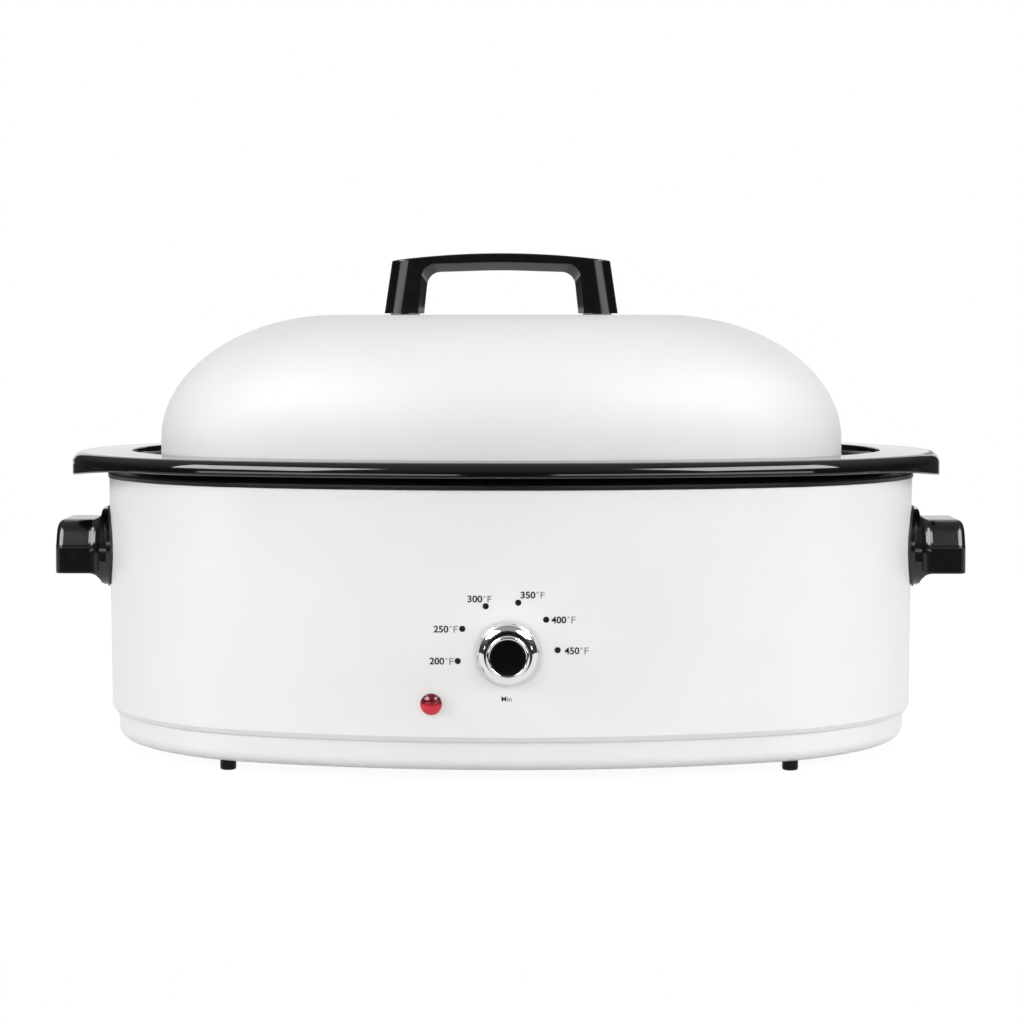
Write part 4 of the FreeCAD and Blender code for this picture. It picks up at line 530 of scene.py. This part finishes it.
world = bpy.data.worlds.new("studio")
bpy.context.scene.world = world
world.use_nodes = True
tree = world.node_tree
tree.nodes.clear()
out = node(tree, "ShaderNodeOutputWorld")
link(tree, by_ray(tree, glow(tree, BACKGROUND, ROOM_LIGHT), mirrored_room(tree),
                  glow(tree, BACKGROUND, 1.0)), out.inputs["Surface"])


def stage_material(name):
    """An empty node material, its tree and its output node."""
    made = bpy.data.materials.new(name)
    made.use_nodes = True
    made.node_tree.nodes.clear()
    return made, made.node_tree, node(made.node_tree, "ShaderNodeOutputMaterial")


def matt_white(tree):
    """The floor's plain surface, which takes the oven's shadow."""
    tone = node(tree, "ShaderNodeGroup", node_tree=TONE)
    for label, tint in zip(("Dark", "Light"), FLOOR_TONES):
        tone.inputs[label].default_value = (*grey(tint), 1)
    tone.inputs["Patch Scale"].default_value = FLOOR_PATCH
    matt = node(tree, "ShaderNodeBsdfDiffuse")
    link(tree, tone.outputs["Colour"], matt.inputs["Color"])
    return matt.outputs["BSDF"]


floor_white, tree, out = stage_material("floor_white")
matt = matt_white(tree)
shown = mixed(tree, SHADOW_SHARE, glow(tree, EMISSION, FLOOR_SHOWN), matt)
link(tree, by_ray(tree, matt, glow(tree, EMISSION, 1.0), shown), out.inputs["Surface"])

wall_white, tree, out = stage_material("wall_white")
white = glow(tree, EMISSION, 1.0)
link(tree, by_ray(tree, glow(tree, EMISSION, WALL_LIGHT), white, white), out.inputs["Surface"])


def stage_sheet(name, points, finish):
    """One flat face of the surroundings."""
    mesh = bpy.data.meshes.new(name)
    mesh.from_pydata(points, [], [list(range(len(points)))])
    mesh.materials.append(finish)
    piece = bpy.data.objects.new(name, mesh)
    bpy.context.scene.collection.objects.link(piece)


stage_sheet("floor", [(-FLOOR_HALF, FLOOR_FRONT, 0), (FLOOR_HALF, FLOOR_FRONT, 0),
                      (FLOOR_HALF, STAGE_BACK, 0), (-FLOOR_HALF, STAGE_BACK, 0)], floor_white)
stage_sheet("wall", [(-WALL_HALF, STAGE_BACK, 0), (WALL_HALF, STAGE_BACK, 0),
                     (WALL_HALF, STAGE_BACK, WALL_HEIGHT),
                     (-WALL_HALF, STAGE_BACK, WALL_HEIGHT)], wall_white)


def softbox(name, place, target, width, height, power, mirrored):
    """A flat lamp, in watts, that either lights surfaces or is seen mirrored in them."""
    light = bpy.data.lights.new(name, "AREA")
    light.shape = "RECTANGLE"
    light.size = width
    light.size_y = height
    light.energy = power
    holder = bpy.data.objects.new(name, light)
    bpy.context.scene.collection.objects.link(holder)
    holder.location = place
    aim = Vector(target) - Vector(place)
    holder.rotation_euler = aim.to_track_quat("-Z", "Y").to_euler()
    holder.visible_glossy = mirrored
    holder.visible_diffuse = not mirrored


SIDES = ("left", -1), ("right", 1)

softbox("overhead", place=(0, -0.1, 2.2), target=(0, 0, 0), width=2.4, height=2.0,
        power=18.5, mirrored=False)
softbox("front", place=(0, -2.6, 0.6), target=(0, 0, 0.2), width=2.4, height=1.2,
        power=36.5, mirrored=False)
softbox("side_left", place=(-2.2, -0.6, 0.7), target=(0, 0, 0.2), width=1.4, height=1.0,
        power=30.5, mirrored=False)
softbox("side_right", place=(2.2, -0.6, 0.7), target=(0, 0, 0.2), width=1.4, height=1.0,
        power=31.5, mirrored=False)
for side, sign in SIDES:
    softbox("card_" + side, place=(sign * 1.37, -0.86, 1.6), target=(0, 0, 0.15),
            width=1.5, height=1.0, power=48.0, mirrored=True)
for side, sign in SIDES:
    softbox("strip_" + side, place=(sign * 1.2, -1.85, 0.475), target=(0, 0, 0.29),
            width=2.05, height=0.3, power=6.5, mirrored=True)

# ------------------------------------------------------------------ camera
CAMERA_REACH = 2.2           # from the oven's upright axis
CAMERA_HEIGHT = 0.2791
CAMERA_TURN = math.radians(0.42)
SENSOR = 36.0
IMAGE = 1024.0               # pixels along each side of the render
HORIZON_ROW = 318.0          # the pixel row at the camera's height
AXIS_COLUMN = 510.7          # the pixel column of the oven's upright axis
FOCAL = 3344.0               # pixels
FARTHEST = 20.0              # what lies farther off isn't drawn

camera_data = bpy.data.cameras.new("camera")
camera_data.sensor_width = SENSOR
camera_data.lens = FOCAL / IMAGE * SENSOR
camera_data.clip_end = FARTHEST
camera = bpy.data.objects.new("camera", camera_data)
bpy.context.scene.collection.objects.link(camera)
camera.location = (CAMERA_REACH * math.sin(CAMERA_TURN),
                   AXIS_Y - CAMERA_REACH * math.cos(CAMERA_TURN), CAMERA_HEIGHT)
pitch = math.atan((IMAGE / 2 - HORIZON_ROW) / FOCAL)
aside = math.atan((IMAGE / 2 - AXIS_COLUMN) / FOCAL)
camera.rotation_euler = (math.pi / 2 - pitch, 0, CAMERA_TURN - aside)
bpy.context.scene.camera = camera
bpy.context.scene.view_settings.view_transform = "Standard"
